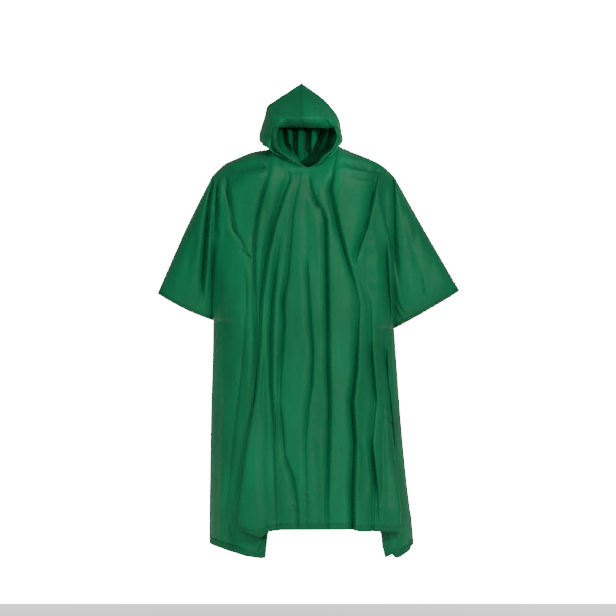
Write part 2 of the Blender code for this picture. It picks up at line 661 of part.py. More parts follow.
    def columns(self):
        """Places across the cloth: the fold to the left of a point, and the share after it."""
        result = []
        count = len(self.folds) + 1
        widths = self.guides(SPACING_ROW)
        for fold in range(count):
            shares = [0.0]
            if fold == 0:
                shares += SIDE_SHARES
            elif widths[fold][5] != TROUGH:
                shares += [place * self.FLANK for place, _, _ in LAP_SECTION if 0 < place < 1]
            shares.append(self.FLANK)
            if widths[fold + 1][0] - widths[fold][0] > WIDE_SPACING:
                shares.append(0.5)
            shares.append(1.0 - self.FLANK)
            if fold == count - 1:
                shares += [1.0 - share for share in reversed(SIDE_SHARES)]
            elif widths[fold + 1][5] != TROUGH:
                shares += [1.0 + place * self.FLANK
                           for place, _, _ in LAP_SECTION if -1 < place < 0]
            result += [(fold, share) for share in shares]
        result.append((count, 0.0))
        return result

    def skin(self):
        skin = Skin()
        top = [skin.add(point, rule) for point, rule in self.top]
        top_x = [point[0][0] for point in self.top]
        columns = self.columns()
        rows = list(COVER_ROWS) + [1.0 + row for row in SKIRT_ROWS]
        body = []
        sleeves = {"left": [], "right": []}
        first_x = []
        for row in rows:
            lines = self.guides(row)
            indices = []
            for fold, share in columns:
                point, x = self.body_point(lines, row, fold, share)
                rule = None
                if row > 1.0 and (fold, share) in (columns[0], columns[-1]):
                    rule = 1
                indices.append(skin.add(point, rule))
                if row == rows[0]:
                    first_x.append(x)
            body.append(indices)
            if row > 1.0:
                continue
            for hand, armhole in (("left", indices[0]), ("right", indices[-1])):
                strip = [armhole]
                for across in SLEEVE_COLUMNS:
                    rule = 1 if across == 1.0 else None
                    strip.append(skin.add(self.sleeve_point(hand, row, across), rule))
                sleeves[hand].append(strip)
        faces = strip_faces(top, top_x, body[0], first_x)
        faces += grid_faces(body)
        inner_to_outer = sleeves["left"][0]
        faces += [(top[0], near, far) for near, far in zip(inner_to_outer, inner_to_outer[1:])]
        inner_to_outer = sleeves["right"][0]
        faces += [(top[-1], far, near) for near, far in zip(inner_to_outer, inner_to_outer[1:])]
        faces += grid_faces([strip[::-1] for strip in sleeves["left"]])
        faces += grid_faces(sleeves["right"])
        skin.finish([face[::-1] if self.side == "front" else face for face in faces])
        self.body = body
        self.sleeves = sleeves
        return skin


def grid_faces(rows):
    """Quads, clockwise from the front, of rows that run left to right, from the top down."""
    faces = []
    for upper, lower in zip(rows, rows[1:]):
        for column in range(len(upper) - 1):
            faces.append((upper[column], upper[column + 1], lower[column + 1], lower[column]))
    return faces


def strip_faces(upper, upper_x, lower, lower_x):
    """Triangles, clockwise from the front, between two rows whose points don't match."""
    faces = []
    i = 0
    j = 0
    while i < len(upper) - 1 or j < len(lower) - 1:
        can_upper = i < len(upper) - 1
        can_lower = j < len(lower) - 1
        if can_upper and (not can_lower or upper_x[i + 1] <= lower_x[j + 1]):
            faces.append((upper[i], upper[i + 1], lower[j]))
            i += 1
        else:
            faces.append((upper[i], lower[j + 1], lower[j]))
            j += 1
    return faces


def band_on(skin, rows):
    """Outer points of a band that lies on a skin, moved out to clear it."""
    points = skin.array()
    used = [index for row in rows for index in row]
    order = {index: place for place, index in enumerate(used)}
    faces = [tuple(order[index] for index in face) for face in skin.faces
             if all(index in order for index in face)]
    inner = np.array([points[index] - skin.moves[index] * SEAM_GAP for index in used])
    outer = np.array([points[index] - skin.moves[index] * (SEAM_GAP + BAND_WALL)
                      for index in used])
    return closed_wall(outer, inner, faces)


def build_panels():
    for side in ("front", "back"):
        panel = Panel(side)
        skin = panel.skin()
        points, faces = skin.wall(CLOTH_WALL)
        make_object(side + "_panel", points, faces, GREEN)
        points, faces = band_on(skin, panel.body[-2:])
        make_object(side + "_hem_band", points, faces, BAND_GREEN)
        for hand in ("left", "right"):
            points, faces = band_on(skin, [strip[1:] for strip in panel.sleeves[hand][-2:]])
            make_object(f"{side}_{hand}_sleeve_band", points, faces, BAND_GREEN)


# ---------------------------------------------------------------- hood
def hood_point(hand, up, place):
    """Point of one hood half: up from the neck to the crown, round from the face to the back."""
    table = HOOD_LEFT if hand == "left" else HOOD_RIGHT
    outline = neck_station(hand), *table
    face_x, face_y, face_z, side_x, side_y, side_z, seam_y, seam_z = read_table(outline, up)
    turn = place * math.pi
    onward = abs(math.cos(turn))
    dip = onward ** mix(NECK_DIP_POWER, 1.0, min(up / HOOD_DIP_END, 1.0))
    if place <= 0.5:
        x = mix(face_x, side_x, math.sin(turn))
        return np.array((x, mix(side_y, face_y, onward), mix(side_z, face_z, dip)))
    x = mix(HOOD_SEAM_X, side_x, math.sin(turn))
    return np.array((x, mix(side_y, seam_y, onward), mix(side_z, seam_z, dip)))


def neck_station(hand):
    side_x, side_z = NECK_LEFT if hand == "left" else NECK_RIGHT
    return (0.0, *NECK_FRONT, side_x, 0.0, side_z, NECK_BACK[1], NECK_BACK[2])


def hood_skin(hand):
    skin = Skin()
    columns = hood_columns(hand)
    toward = -1.0 if hand == "left" else 1.0
    grid = []
    for up in HOOD_ROWS:
        indices = []
        fullness = read_table(GATHER_ROWS, up)[0]
        for place, gather in columns:
            point = hood_point(hand, up, place)
            rule = None
            _, outward = neck_point(hand, place)
            if up == 0.0:
                point = np.array(neck_point(hand, place)[0])
                point[2] += HOOD_LIFT
                rule = (outward - (0.0, 0.0, HOOD_EDGE_DROP)) / math.hypot(1.0, HOOD_EDGE_DROP)
            else:
                point += outward * gather * fullness
            if place == 1.0 or up == 1.0:
                point[0] = HOOD_SEAM_X + toward * SEAM_GAP / 2
                rule = rule if up == 0.0 else 0
            elif up == 0.0 and place == 0.0:
                point[0] += toward * SEAM_GAP / 2
            indices.append(skin.add(point, rule))
        grid.append(indices)
    skin.finish([face[::-1] if hand == "left" else face for face in grid_faces(grid)])
    return skin, grid


def build_hood():
    for hand in ("left", "right"):
        skin, grid = hood_skin(hand)
        points, faces = skin.wall(CLOTH_WALL)
        make_object("hood_" + hand, points, faces, GREEN)
        points, faces = band_on(skin, [row[:2] for row in grid[1:]])
        make_object(f"hood_{hand}_face_band", points, faces, BAND_GREEN)


def main():
    for old in list(bpy.data.objects):
        bpy.data.objects.remove(old, do_unlink=True)
    build_panels()
    build_hood()


main()
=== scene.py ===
"""Hooded rain poncho in coated cloth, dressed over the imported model.

Units are metres, and millimetres in the tables of shapes.  +Z is up and the front faces -Y.
Each cloth piece is a thin shell on its solid's form: the garment's own sizes give the broad
shape, the main folds are laid on it, and finer creases are pressed in as soft troughs and ridges.
"""

import json
import math

import bpy
import numpy as np
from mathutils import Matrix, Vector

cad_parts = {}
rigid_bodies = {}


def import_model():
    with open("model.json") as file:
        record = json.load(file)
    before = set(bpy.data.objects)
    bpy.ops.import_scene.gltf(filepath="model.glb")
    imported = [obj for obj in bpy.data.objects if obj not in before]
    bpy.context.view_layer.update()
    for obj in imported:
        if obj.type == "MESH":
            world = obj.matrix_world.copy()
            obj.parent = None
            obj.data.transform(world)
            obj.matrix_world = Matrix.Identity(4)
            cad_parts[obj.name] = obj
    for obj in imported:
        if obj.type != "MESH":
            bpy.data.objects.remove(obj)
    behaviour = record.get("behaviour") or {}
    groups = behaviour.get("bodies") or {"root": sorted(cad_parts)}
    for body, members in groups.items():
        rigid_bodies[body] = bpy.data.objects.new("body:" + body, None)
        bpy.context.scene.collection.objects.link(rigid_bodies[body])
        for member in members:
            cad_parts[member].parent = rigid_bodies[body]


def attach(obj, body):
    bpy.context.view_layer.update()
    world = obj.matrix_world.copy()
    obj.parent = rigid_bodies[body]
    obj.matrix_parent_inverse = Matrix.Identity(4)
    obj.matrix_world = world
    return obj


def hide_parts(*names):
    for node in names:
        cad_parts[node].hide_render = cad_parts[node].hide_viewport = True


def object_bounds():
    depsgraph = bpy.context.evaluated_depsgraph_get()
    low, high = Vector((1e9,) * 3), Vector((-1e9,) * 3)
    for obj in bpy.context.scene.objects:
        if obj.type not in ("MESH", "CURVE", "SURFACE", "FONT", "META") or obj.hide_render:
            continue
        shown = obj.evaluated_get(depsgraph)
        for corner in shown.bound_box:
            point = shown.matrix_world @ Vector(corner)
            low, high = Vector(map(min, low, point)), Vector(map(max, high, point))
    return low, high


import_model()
CAD_LOW, CAD_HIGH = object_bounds()

bl_info = {
    "name": "Rain Poncho",
    "version": (1, 0, 0),
    "blender": (4, 5, 0),
    "location": "View3D > Sidebar > Poncho",
    "description": "Builds a hooded rain poncho in coated cloth",
    "category": "Add Mesh",
}

BODY = "root"
SIDES = ("front", "back")
HANDS = ("left", "right")
EDGE_COLUMN = {"left": 0, "right": -1}       # of the body's grid, beside each sleeve
FROM_SEAM = {"left": -1.0, "right": 1.0}     # the way each hood half lies from the hood's seam


def mm(*rows, shares=0):
    """A table in metres from rows in millimetres; its first columns may be plain shares."""
    table = np.array(rows, dtype=float)
    table[:, shares:] /= 1000.0
    return table


# ------------ the garment's sizes
SEAM_GAP = 0.0003
SHOULDER_ROUND = 0.080       # how far below the shoulder line the cloth has turned down
SECTION_POWER = 2.8          # 2 is an oval plan, more is squarer
ARMHOLE_DEPTH = 0.056
ARMHOLE_PINCH = 0.0017       # half depth left between the panels at the armpit
ARMHOLE_POWER = 4
ARMHOLE_REACH = 1.6          # how fast an armhole's depth fades towards the middle
SLEEVE_BULGE = 0.036
SLEEVE_MID_BULGE = 0.012
SLEEVE_SHOULDER_POWER = 2.2
SLEEVE_SECTION_POWER = 0.65
BILLOW = 0.05                # rise of the cloth between two folds, over their distance
SIDE_FADE = 0.030
FOLD_START_ROW = 0.12
FOLD_TOP = 0.045             # how far down the main folds begin
FOLD_TOP_FADE = 0.045        # and the stretch over which they deepen
FOLD_NARROWING = 0.72        # half width of a fold's trough, over its solid's
FOLD_FLATTENING = 0.96       # depth of a fold's trough, over its solid's
LAP_FOLLOW = 0.6
CREST = 0.45                 # ridge on the right of each fold, over the fold's depth
TROUGH_PLACE = -0.35         # where a fold is deepest, in half widths from its line
CREST_PLACE = 0.45
WALL_REACH = 0.38            # half widths over which its wall rises
TROUGH_REACH = 1.25          # and over which its sides run out
CREST_REACH = 1.80

ARMPIT = {"left": (-0.264, -0.489), "right": (0.258, -0.513)}
NECK_END = {"left": (-0.093, 0.009), "right": (0.099, 0.017)}
NECK_MIDDLE = {"front": (0.010, -0.100, -0.050), "back": (-0.009, 0.072, -0.032)}
NECK_DIP_POWER = 2.6
NECK_BLEND = 0.12            # rows over which columns leave the neckline's own spacing
HOOD_DIP_END = 0.50
HOOD_SEAM_X = -0.009

COVER_TOP = 0.04             # rows 0 to 1 reach from here
COVER_END = 0.50             # to the armpits here
SKIRT_END = 1.13             # and rows 1 to 2 on to the hem

# Shoulder lines, from left to right, and the sleeves' upper edges, from the shoulder down: x, z
SHOULDER = {
    "left": mm(
        (-267, -70), (-249, -52), (-229, -35), (-189, -17), (-145, 0), (-118, 4), (-93, 9),
    ),
    "right": mm(
        (99, 17), (116, 8), (133, 0), (177, -17), (215, -35), (238, -52), (258, -72),
    ),
}
SLEEVE_TOP = {
    "left": mm(
        (-267, -70), (-276, -88), (-302, -139), (-345, -226), (-426, -411),
    ),
    "right": mm(
        (258, -72), (268, -88), (296, -139), (345, -226), (448, -403),
    ),
}

# Side outline of the body below the armpits: down, left x, right x
SIDE_EDGE = mm(
    (500, -264, 258), (580, -265, 264), (750, -270, 277), (920, -273, 293), (1080, -275, 311),
    (1180, -275, 318),
)

# Lower edge, read across the cloth before it is folded: x, down
HEM = {
    "front": mm(
        (-275, 1134), (-226, 1148), (-185, 1159), (-171, 1163), (-158.5, 1172), (-155, 1100), (-134, 1086),
        (-121, 1110), (-107, 1093), (-67, 1088), (133, 1087), (159, 1093), (215, 1093), (258.5, 1097),
        (262.2, 1172), (268, 1160), (270, 1172), (305, 1151), (306.5, 1140), (318, 1137),
    ),
    "back": mm(
        (-275, 1134), (-230, 1142), (-170, 1132), (-120, 1098), (-70, 1078), (0, 1070), (100, 1074),
        (180, 1084), (235, 1118), (280, 1144), (318, 1138),
    ),
}

# Half depth of the body: down, front, back
BODY_DEPTH = mm(
    (0, 90, 80), (60, 116, 114), (150, 130, 138), (300, 134, 140), (500, 138, 136), (800, 148, 144),
    (1150, 164, 158),
)

# ------------ main folds
# Name, kind, half width at the top, half width at the hem, then stations of down, x, depth.
# A lap's stations add its overlap and its lift.
TROUGH = 0
LAP_LEFT = 1                 # the front layer is on the right
LAP_RIGHT = -1               # the front layer is on the left

FOLDS = {
    "front": (
        ("outer left", TROUGH, 12, 13, (70, -226, 2), (140, -211, 7), (220, -200, 6), (310, -154, 4),
         (340, -160, 0), (600, -176, 4), (800, -200, 3), (1180, -236, 5)),
        ("left chest", TROUGH, 13, 15, (75, -104, 6), (125, -116, 12), (180, -130, 13), (240, -139, 13),
         (300, -142, 10), (520, -136, 9), (620, -139, 3), (1180, -206, 2)),
        ("left lap", LAP_LEFT, 14, 38, (75, -38, 6, 0, 0), (110, -52, 13, 0, 0), (210, -84, 15, 0, 1),
         (300, -104, 15, 0, 1), (430, -122, 14, 0, 2), (560, -128, 13, 0, 3), (660, -139, 5, 1, 14),
         (760, -146, 0, 15, 26), (980, -142, 0, 54, 34), (1035, -130, 0, 70, 36),
         (1100, -148, 0, 46, 38)),
        ("left inner", TROUGH, 12, 13, (60, -18, 0), (220, -66, 0), (310, -77, 6), (360, -81, 13),
         (420, -87, 15), (520, -93, 14), (680, -93, 12), (780, -84, 8), (880, -87, 3), (1180, -73, 4)),
        ("left of centre", TROUGH, 11, 13, (60, -4, 0), (120, -21, 4), (175, -32, 6), (260, -38, 7),
         (360, -46, 9), (430, -58, 13), (500, -56, 10), (600, -64, 9), (720, -71, 4), (790, -61, 8),
         (870, -57, 6), (940, -30, 8), (1020, -19, 6), (1180, -17, 2)),
        ("centre", TROUGH, 11, 13, (60, 4, 0), (300, 6, 0), (340, 9, 7), (460, 17, 8), (570, 26, 10),
         (670, 23, 11), (730, 12, 9), (840, 3, 6), (1180, 10, 1)),
        ("right of centre", TROUGH, 12, 14, (60, 14, 3), (90, 16, 7), (130, 28, 10), (170, 52, 8),
         (200, 64, 13), (310, 67, 14), (460, 70, 15), (630, 72, 16), (720, 75, 14), (860, 72, 13),
         (1010, 67, 7), (1180, 68, 2)),
        ("right chest", TROUGH, 13, 18, (75, 81, 8), (110, 78, 15), (155, 87, 14), (240, 107, 15),
         (310, 125, 14), (370, 142, 9), (440, 157, 7), (540, 154, 12), (630, 151, 19), (720, 140, 20),
         (840, 148, 20), (970, 142, 19), (1180, 142, 18)),
        ("right armhole", TROUGH, 12, 15, (50, 216, 6), (110, 203, 15), (180, 189, 15), (225, 178, 17),
         (276, 160, 14), (313, 147, 9), (335, 148, 0), (370, 162, 0), (440, 190, 4), (570, 194, 8),
         (710, 206, 7), (840, 194, 8), (950, 203, 10), (1180, 196, 6)),
        ("right lap", LAP_RIGHT, 14, 28, (60, 240, 0, 0, 0), (280, 238, 5, 0, 2), (400, 244, 7, 0, 3),
         (600, 238, 8, 1, 4), (780, 250, 3, 9, 18), (980, 238, 0, 40, 28), (1033, 222, 0, 59, 30),
         (1100, 248, 0, 38, 32)),
    ),
    "back": (
        ("outer left", TROUGH, 14, 16, (70, -232, 2), (300, -214, 10), (600, -220, 8), (1180, -234, 12)),
        ("left blade", TROUGH, 14, 18, (60, -140, 2), (200, -156, 13), (500, -168, 15), (850, -172, 10),
         (1180, -182, 17)),
        ("left back", LAP_LEFT, 14, 28, (30, -64, 3, 0, 0), (200, -90, 13, 0, 2), (620, -112, 14, 1, 5),
         (800, -116, 3, 10, 20), (1180, -112, 0, 30, 32)),
        ("left spine", TROUGH, 13, 16, (30, -22, 3), (300, -40, 10), (600, -54, 14), (1180, -46, 10)),
        ("spine", TROUGH, 13, 15, (30, 12, 2), (350, 8, 7), (700, -4, 12), (1180, 6, 9)),
        ("right spine", TROUGH, 13, 17, (30, 46, 4), (250, 58, 13), (600, 66, 15), (1180, 60, 14)),
        ("right blade", TROUGH, 14, 18, (50, 94, 3), (220, 126, 14), (550, 136, 12), (900, 128, 17),
         (1180, 130, 18)),
        ("outer right", TROUGH, 14, 18, (60, 200, 3), (250, 204, 12), (500, 208, 9), (900, 216, 14),
         (1180, 236, 16)),
    ),
}

# Section of a lap across the cloth: place, sideways, lift of the front layer
LAP_SECTION = (
    (-1.00, 0.00, 0.00), (-0.70, 0.50, -0.42), (-0.50, 0.96, -0.50), (-0.42, 1.00, -0.36),
    (-0.32, 0.84, -0.22), (0.00, 0.00, 0.00), (0.32, -0.84, 0.22), (0.42, -1.00, 0.36),
    (0.50, -0.96, 0.50), (0.70, -0.50, 0.42), (1.00, 0.00, 0.00),
)

# ------------ finer creases
# Creases that run down the cloth: name, half width, then stations of down, x, depth.  A
# negative depth is a ridge.
DOWN_CREASES = {
    "front": (
        ("sleeve root left", 9, (80, -262, 0), (115, -267, 20), (226, -277, 24), (371, -288, 20),
         (450, -292, 0)),
        ("armhole left", 6, (70, -246, 0), (95, -247, 16), (220, -248, 18), (250, -250, 10),
         (357, -260, 6), (440, -263, 0)),
        ("ridge beside armhole", 7, (100, -255, 0), (180, -262, -6), (330, -272, -5), (420, -276, 0)),
        ("below left shoulder", 7, (75, -228, 0), (110, -216, 8), (150, -210, 4), (177, -212, 2),
         (220, -200, 5), (270, -184, 0)),
        ("left of the chest", 6, (255, -180, 0), (300, -172, 4), (400, -166, 3), (480, -164, 0)),
        ("left front layer", 7, (500, -117, 0), (620, -112, 4), (760, -108, 4), (950, -106, 0)),
        ("pleat edge", 5, (690, -83, 0), (760, -79, -5), (950, -77, -5), (1090, -76, -3)),
        ("upper centre", 8, (90, 34, 0), (150, 40, 4), (220, 42, 0)),
        ("centre branch", 7, (520, -5, 0), (560, -8, 6), (700, -20, 6), (790, -36, 0)),
        ("lower centre", 7, (820, 26, 0), (870, 38, 7), (980, 46, 8), (1060, 44, 3), (1090, 43, 2)),
        ("diagonal to the left chest", 7, (226, -235, 0), (240, -219, 5), (272, -190, 5),
         (296, -163, 5), (310, -150, 0)),
        ("right of the chest", 8, (190, 185, 0), (250, 189, 6), (390, 194, 6), (440, 207, 0)),
        ("armhole right", 7, (250, 234, 0), (320, 240, 8), (440, 247, 9), (500, 250, 4), (560, 252, 0)),
        ("sleeve ridge right", 10, (80, 206, 0), (130, 216, -8), (284, 249, -8), (400, 273, -5),
         (450, 283, 0)),
        ("right sleeve crease", 6, (340, 335, 0), (370, 339, 4), (405, 344, 4), (430, 352, 0)),
        ("beside right pleat", 7, (810, 163, 0), (850, 169, 8), (940, 178, 8), (1000, 181, 0)),
        ("right hip", 7, (550, 193, 0), (600, 196, 6), (690, 204, 6), (740, 209, 0)),
        ("right thigh", 7, (810, 192, 0), (870, 198, 8), (960, 209, 10), (1050, 212, 6), (1092, 212, 3)),
        ("right flank", 8, (480, 228, 0), (560, 233, 6), (700, 246, 8), (830, 258, 6), (900, 264, 0)),
        ("left flank", 12, (560, -236, 0), (700, -240, 4), (950, -246, 5), (1130, -248, 3)),
        ("left hem", 5, (1040, -214, 0), (1070, -211, 4), (1110, -205, 3), (1140, -202, 0)),
    ),
    "back": (
        ("sleeve root left", 9, (100, -266, 0), (180, -272, 10), (330, -280, 10), (430, -284, 0)),
        ("sleeve root right", 9, (90, 256, 0), (160, 262, 12), (300, 272, 9), (420, 278, 0)),
        ("below left blade", 8, (130, -184, 0), (220, -188, 6), (380, -192, 5), (460, -194, 0)),
        ("left small of back", 7, (360, -78, 0), (470, -80, 7), (600, -84, 5), (700, -86, 0)),
        ("between the blades", 8, (80, 28, 0), (160, 32, 6), (300, 34, 4), (380, 32, 0)),
        ("right small of back", 7, (420, 96, 0), (540, 100, 7), (700, 98, 6), (820, 96, 0)),
        ("right flank", 8, (520, 176, 0), (640, 180, 7), (820, 178, 6), (960, 180, 0)),
        ("lower left", 8, (760, -206, 0), (880, -208, 7), (1040, -210, 8), (1120, -211, 4)),
        ("lower spine", 7, (820, 32, 0), (920, 30, 7), (1060, 34, 6)),
        ("lower right", 8, (780, 262, 0), (900, 264, 8), (1080, 272, 8)),
    ),
    "hood": (
        ("right facet", 5.5, (-96, 64, 0), (-84, 70, 6), (-62, 85, 6), (-40, 94, 5), (-20, 97, 0)),
    ),
}

# Creases that run across the cloth: name, half width, then stations of x, z, depth
ACROSS_CREASES = {
    "front": (
        ("left shoulder", 12, (-230, -56, 0), (-190, -45, 15), (-155, -37, 15), (-125, -37, 9),
         (-85, -43, 0)),
        ("below left shoulder", 10, (-240, -80, 0), (-222, -78, 4), (-196, -70, 12), (-160, -84, 0)),
        ("below the face", 5, (-120, -55, 0), (-80, -56, 3), (-12, -56, 3), (20, -58, 0)),
        ("right shoulder", 11, (98, -30, 0), (140, -35, 13), (200, -44, 14), (236, -56, 0)),
        ("second right shoulder", 9, (108, -60, 0), (140, -64, 9), (190, -72, 9), (214, -76, 0)),
        ("right armpit one", 5, (256, -440, 0), (266, -458, 6), (280, -480, 4), (290, -490, 0)),
        ("right armpit two", 5, (264, -424, 0), (276, -446, 6), (292, -468, 4), (302, -474, 0)),
        ("lower centre ridge", 5, (-58, -996, 0), (-41, -1022, -5), (-23, -1040, -4), (-12, -1044, 0)),
        ("lower centre wrinkle", 5, (-14, -978, 0), (4, -985, 3), (24, -986, 0)),
        ("second lower wrinkle", 5, (-12, -996, 0), (8, -1004, 3), (26, -1002, 0)),
        ("right thigh wrinkle", 5, (226, -770, 0), (238, -762, 4), (252, -780, 3), (258, -792, 0)),
    ),
    "back": (
        ("left shoulder", 6, (-220, -52, 0), (-180, -46, 6), (-130, -42, 5), (-95, -46, 0)),
        ("right shoulder", 6, (96, -40, 0), (140, -46, 6), (190, -56, 6), (218, -64, 0)),
        ("below the hood", 6, (-70, -52, 0), (-30, -58, 4), (30, -58, 4), (70, -50, 0)),
        ("left armpit", 5, (-292, -460, 0), (-278, -450, 5), (-260, -430, 0)),
    ),
    "hood": (
        ("left brim ridge", 6.5, (-106, 100, 0), (-90, 102, -5), (-50, 105, -4), (-30, 104, 0)),
        ("under the left ridge", 6.5, (-108, 90, 0), (-96, 90, 4), (-80, 90, 2), (-70, 91, 0)),
        ("left cheek", 6, (-116, 74, 0), (-100, 76, 3), (-90, 78, 2), (-80, 80, 0)),
        ("lower left cheek", 5, (-118, 46, 0), (-104, 48, 3), (-86, 36, 3), (-76, 26, 0)),
    ),
}

# Folds that run down the sleeves: place across, half width across, depth, first and last row
SLEEVE_FOLDS = {
    ("front", "left"): ((0.15, 0.10, 0.006, 0.06, 0.80), (0.60, 0.20, 0.004, 0.25, 1.10)),
    ("front", "right"): ((0.15, 0.12, -0.004, 0.06, 0.95), (0.42, 0.18, 0.005, 0.30, 1.10)),
    ("back", "left"): ((0.26, 0.14, 0.008, 0.10, 0.95),),
    ("back", "right"): ((0.15, 0.11, 0.009, 0.06, 0.85), (0.60, 0.20, 0.004, 0.30, 1.10)),
}
SLEEVE_FOLD_WIDTH = 0.016    # half width from which a sleeve's fold has its full depth
SLEEVE_SAG = {"left": 0.006, "right": 0.002}

# ------------ hood
# Columns: share up the half, face edge x, y, z, side x, y, z, back seam y, z
HOOD = {
    "left": mm(
        (0.1, -22, -103, -30, -108, -4, 22, 79, -6), (0.2, -48, -104, -12, -133, -4, 30, 89, 10),
        (0.32, -74, -102, 10, -134, 0, 46, 96, 28), (0.45, -81, -102, 41, -127, 0, 72, 100, 44),
        (0.58, -73, -110, 66, -117, 0, 102, 101, 60), (0.7, -58, -122, 68, -110, 0, 131, 100, 76),
        (0.8, -41, -128, 69, -80, 0, 153, 98, 88), (0.9, -25, -131, 70, -45, 0, 176, 97, 97),
        (1.0, -9, -133, 70, -9, 0, 200, 96, 104),
        shares=1,
    ),
    "right": mm(
        (0.1, 38, -103, -34, 105, -4, 27, 79, -6), (0.2, 50, -104, -18, 109, -4, 31, 89, 10),
        (0.32, 79, -102, 6, 110, 0, 38, 96, 28), (0.45, 93, -100, 40, 106, 0, 60, 100, 44),
        (0.58, 86, -107, 65, 101, 0, 88, 101, 60), (0.7, 66, -120, 67, 93, 0, 108, 100, 76),
        (0.8, 44, -127, 68, 71, 0, 134, 98, 88), (0.9, 20, -131, 69, 36, 0, 170, 97, 97),
        (1.0, -9, -133, 70, -9, 0, 200, 96, 104),
        shares=1,
    ),
}
HOOD_LIFT = 1.5 * SEAM_GAP   # clear space between the hood and the panels at the neck
HOOD_NECK_FADE = 0.12        # shares over which all its creasing sets in above the neck
HOOD_SEAM_FADE = 0.06        # and runs out before the seam
HOOD_CREASE_END = 0.50       # share round at which the placed creases have run out
HOOD_CREASE_FADE = 0.10
HOOD_CROWN = 0.6             # share up from which the halves are kept apart at the seam

# Gathers in the back of the hood, drawn together at the neck: stations of z, x, outward and
# half width.  Slots are pressed out and their mouths drawn together, ridges stand in.
GATHER_SLOTS = (
    ((-30, -30, 12, 5), (-12, -36, 20, 8), (29, -55, 30, 10.5), (70, -61, 30, 11), (112, -64, 0, 11)),
    ((-32, -15, 17, 5.5), (-3, -28, 30, 11.5), (64, -30, 34, 14.5), (115, -32, 0, 14.5)),
    ((-35, 6, 22, 7.5), (6, 8, 34, 16.5), (61, 11, 36, 19.5), (115, 12, 0, 19.5)),
    ((-30, 19, 12, 5), (-17, 23, 18, 6), (20, 38, 26, 9), (61, 51, 28, 10), (110, 56, 0, 10)),
    ((-26, 36, 10, 7), (17, 68, 26, 14), (58, 79, 26, 16), (105, 84, 0, 16)),
)
GATHER_RIDGES = (
    ((-30, -23, 1, 5), (29, -42, 4, 6), (70, -46, 4, 6), (110, -48, 0, 6)),
    ((-34, -4, 1, 6), (6, -11, 5, 7), (64, -10, 5, 7), (115, -12, 0, 7)),
    ((-34, 12, 1, 5), (6, 24, 4, 6), (61, 32, 4, 6), (112, 34, 0, 6)),
    ((-28, 27, 1, 5), (18, 50, 4, 6), (58, 62, 4, 6), (105, 68, 0, 6)),
)
GATHER_DRAWN = 0.50          # how far a slot's mouth closes, in its half widths
GATHER_MOUTH = 0.45          # and over which stretch
GATHER_WALL = 0.65           # of a slot's half width that its wall takes up
GATHER_SEAM_ROOM = 0.010     # cloth beside the seam that isn't drawn sideways
GATHER_DEPTH = 1.35          # of the slots, over their stations'
GATHER_IN = 0.030            # how far the gathered cloth stands in as a whole
GATHER_TOP = 0.112           # where the gathers have run out
GATHER_TOP_FADE = 0.045
GATHER_NECK_FADE = 0.22      # shares over which they deepen, up from the neck
GATHER_START = 0.5           # and round from the middle of the side,
GATHER_SIDE_FADE = 0.12      # for the slots
GATHER_IN_FADE = 0.26        # and for the cloth as a whole

BRIM_LOW = 0.067             # the brim's edge over the face
BRIM_FOLD = 0.096            # where the cloth starts to turn under
BRIM_TUCK = 0.074            # how far its edge has turned in
BRIM_POWER = 1.25            # 1 turns in along a straight line, more along a curve
BRIM_ENDS = (-0.080, 0.097)  # and where the turned part ends at both sides
BRIM_END_FADE = 0.034
BRIM_BACK = 0.46             # share round at which it has run out
BRIM_BACK_FADE = 0.12
BRIM_START = 0.47            # share up at which it sets in
BRIM_START_FADE = 0.17

# Folds that follow the face opening down to the throat: hand, place round, half width of
# place, height, first and last place up
COLLAR_FOLDS = (
    ("left", 0.045, 0.018, 0.0070, 0.02, 0.46),
    ("left", 0.105, 0.018, -0.0100, 0.02, 0.42),
    ("left", 0.165, 0.022, 0.0090, 0.02, 0.38),
    ("left", 0.235, 0.024, -0.0100, 0.03, 0.32),
    ("left", 0.310, 0.030, 0.0050, 0.03, 0.28),
    ("right", 0.040, 0.018, 0.0050, 0.02, 0.34),
    ("right", 0.110, 0.022, -0.0120, 0.02, 0.40),
    ("right", 0.180, 0.024, 0.0090, 0.02, 0.36),
    ("right", 0.260, 0.028, -0.0080, 0.03, 0.30),
)
COLLAR_POWER = 0.7           # below 1 a fold keeps its height for longer

# ------------ how finely it is drawn
COLUMNS_PER_FLANK = 5
COLUMNS_PER_LAP_FLANK = 12
COLUMNS_BETWEEN = 5
FLANK = 0.30                 # share of the way between two folds that one fold's side takes
CROWDING = 0.42              # and of their distance that its half width may take at most
TOP_ROWS = 18                # rows that turn over the shoulder
TOP_ROWS_END = 0.16
COVER_ROW_COUNT = 70
SKIRT_ROW_COUNT = 128
SLEEVE_COLUMN_COUNT = 40
HOOD_ROW_COUNT = 90
HOOD_COLUMN_COUNT = 190
FOLD_ROUNDS = 4              # rounds in which a fold's place and its row are settled
NECK_SEAM_POINTS = 61        # on each side of the neck
SEAM_SIDES = 8
SEAM_LEAN = (0.31, 0.17, 0.94)   # a direction that no seam runs along
FACE_EDGE_START = 2          # first row of the hood that the edge round the face takes in
ROWS_NEAR_EDGE = 24          # enough rows to take in both rows of stitches
STITCH_ROWS = (0.28, 0.82)   # shares of a hem's width
STITCH_RINGS = (0.25, 0.75)  # shares of a stitch's length where it is thickest
STITCH_RISE = 0.35           # of their middle, in widths of the thread

CRINKLES = (                 # cell across, cell down, height of the fine creasing
    (0.034, 0.190, 0.0030),
    (0.016, 0.080, 0.0014),
    (0.011, 0.014, 0.0003),
)
LATTICE = 160                # points of fine creasing each way
SEED = {"front": 11, "back": 23, "hood": 37}
HOOD_RUFFLE = 0.7            # share of the panels' fine creasing that the hood has
TINY = 1e-12

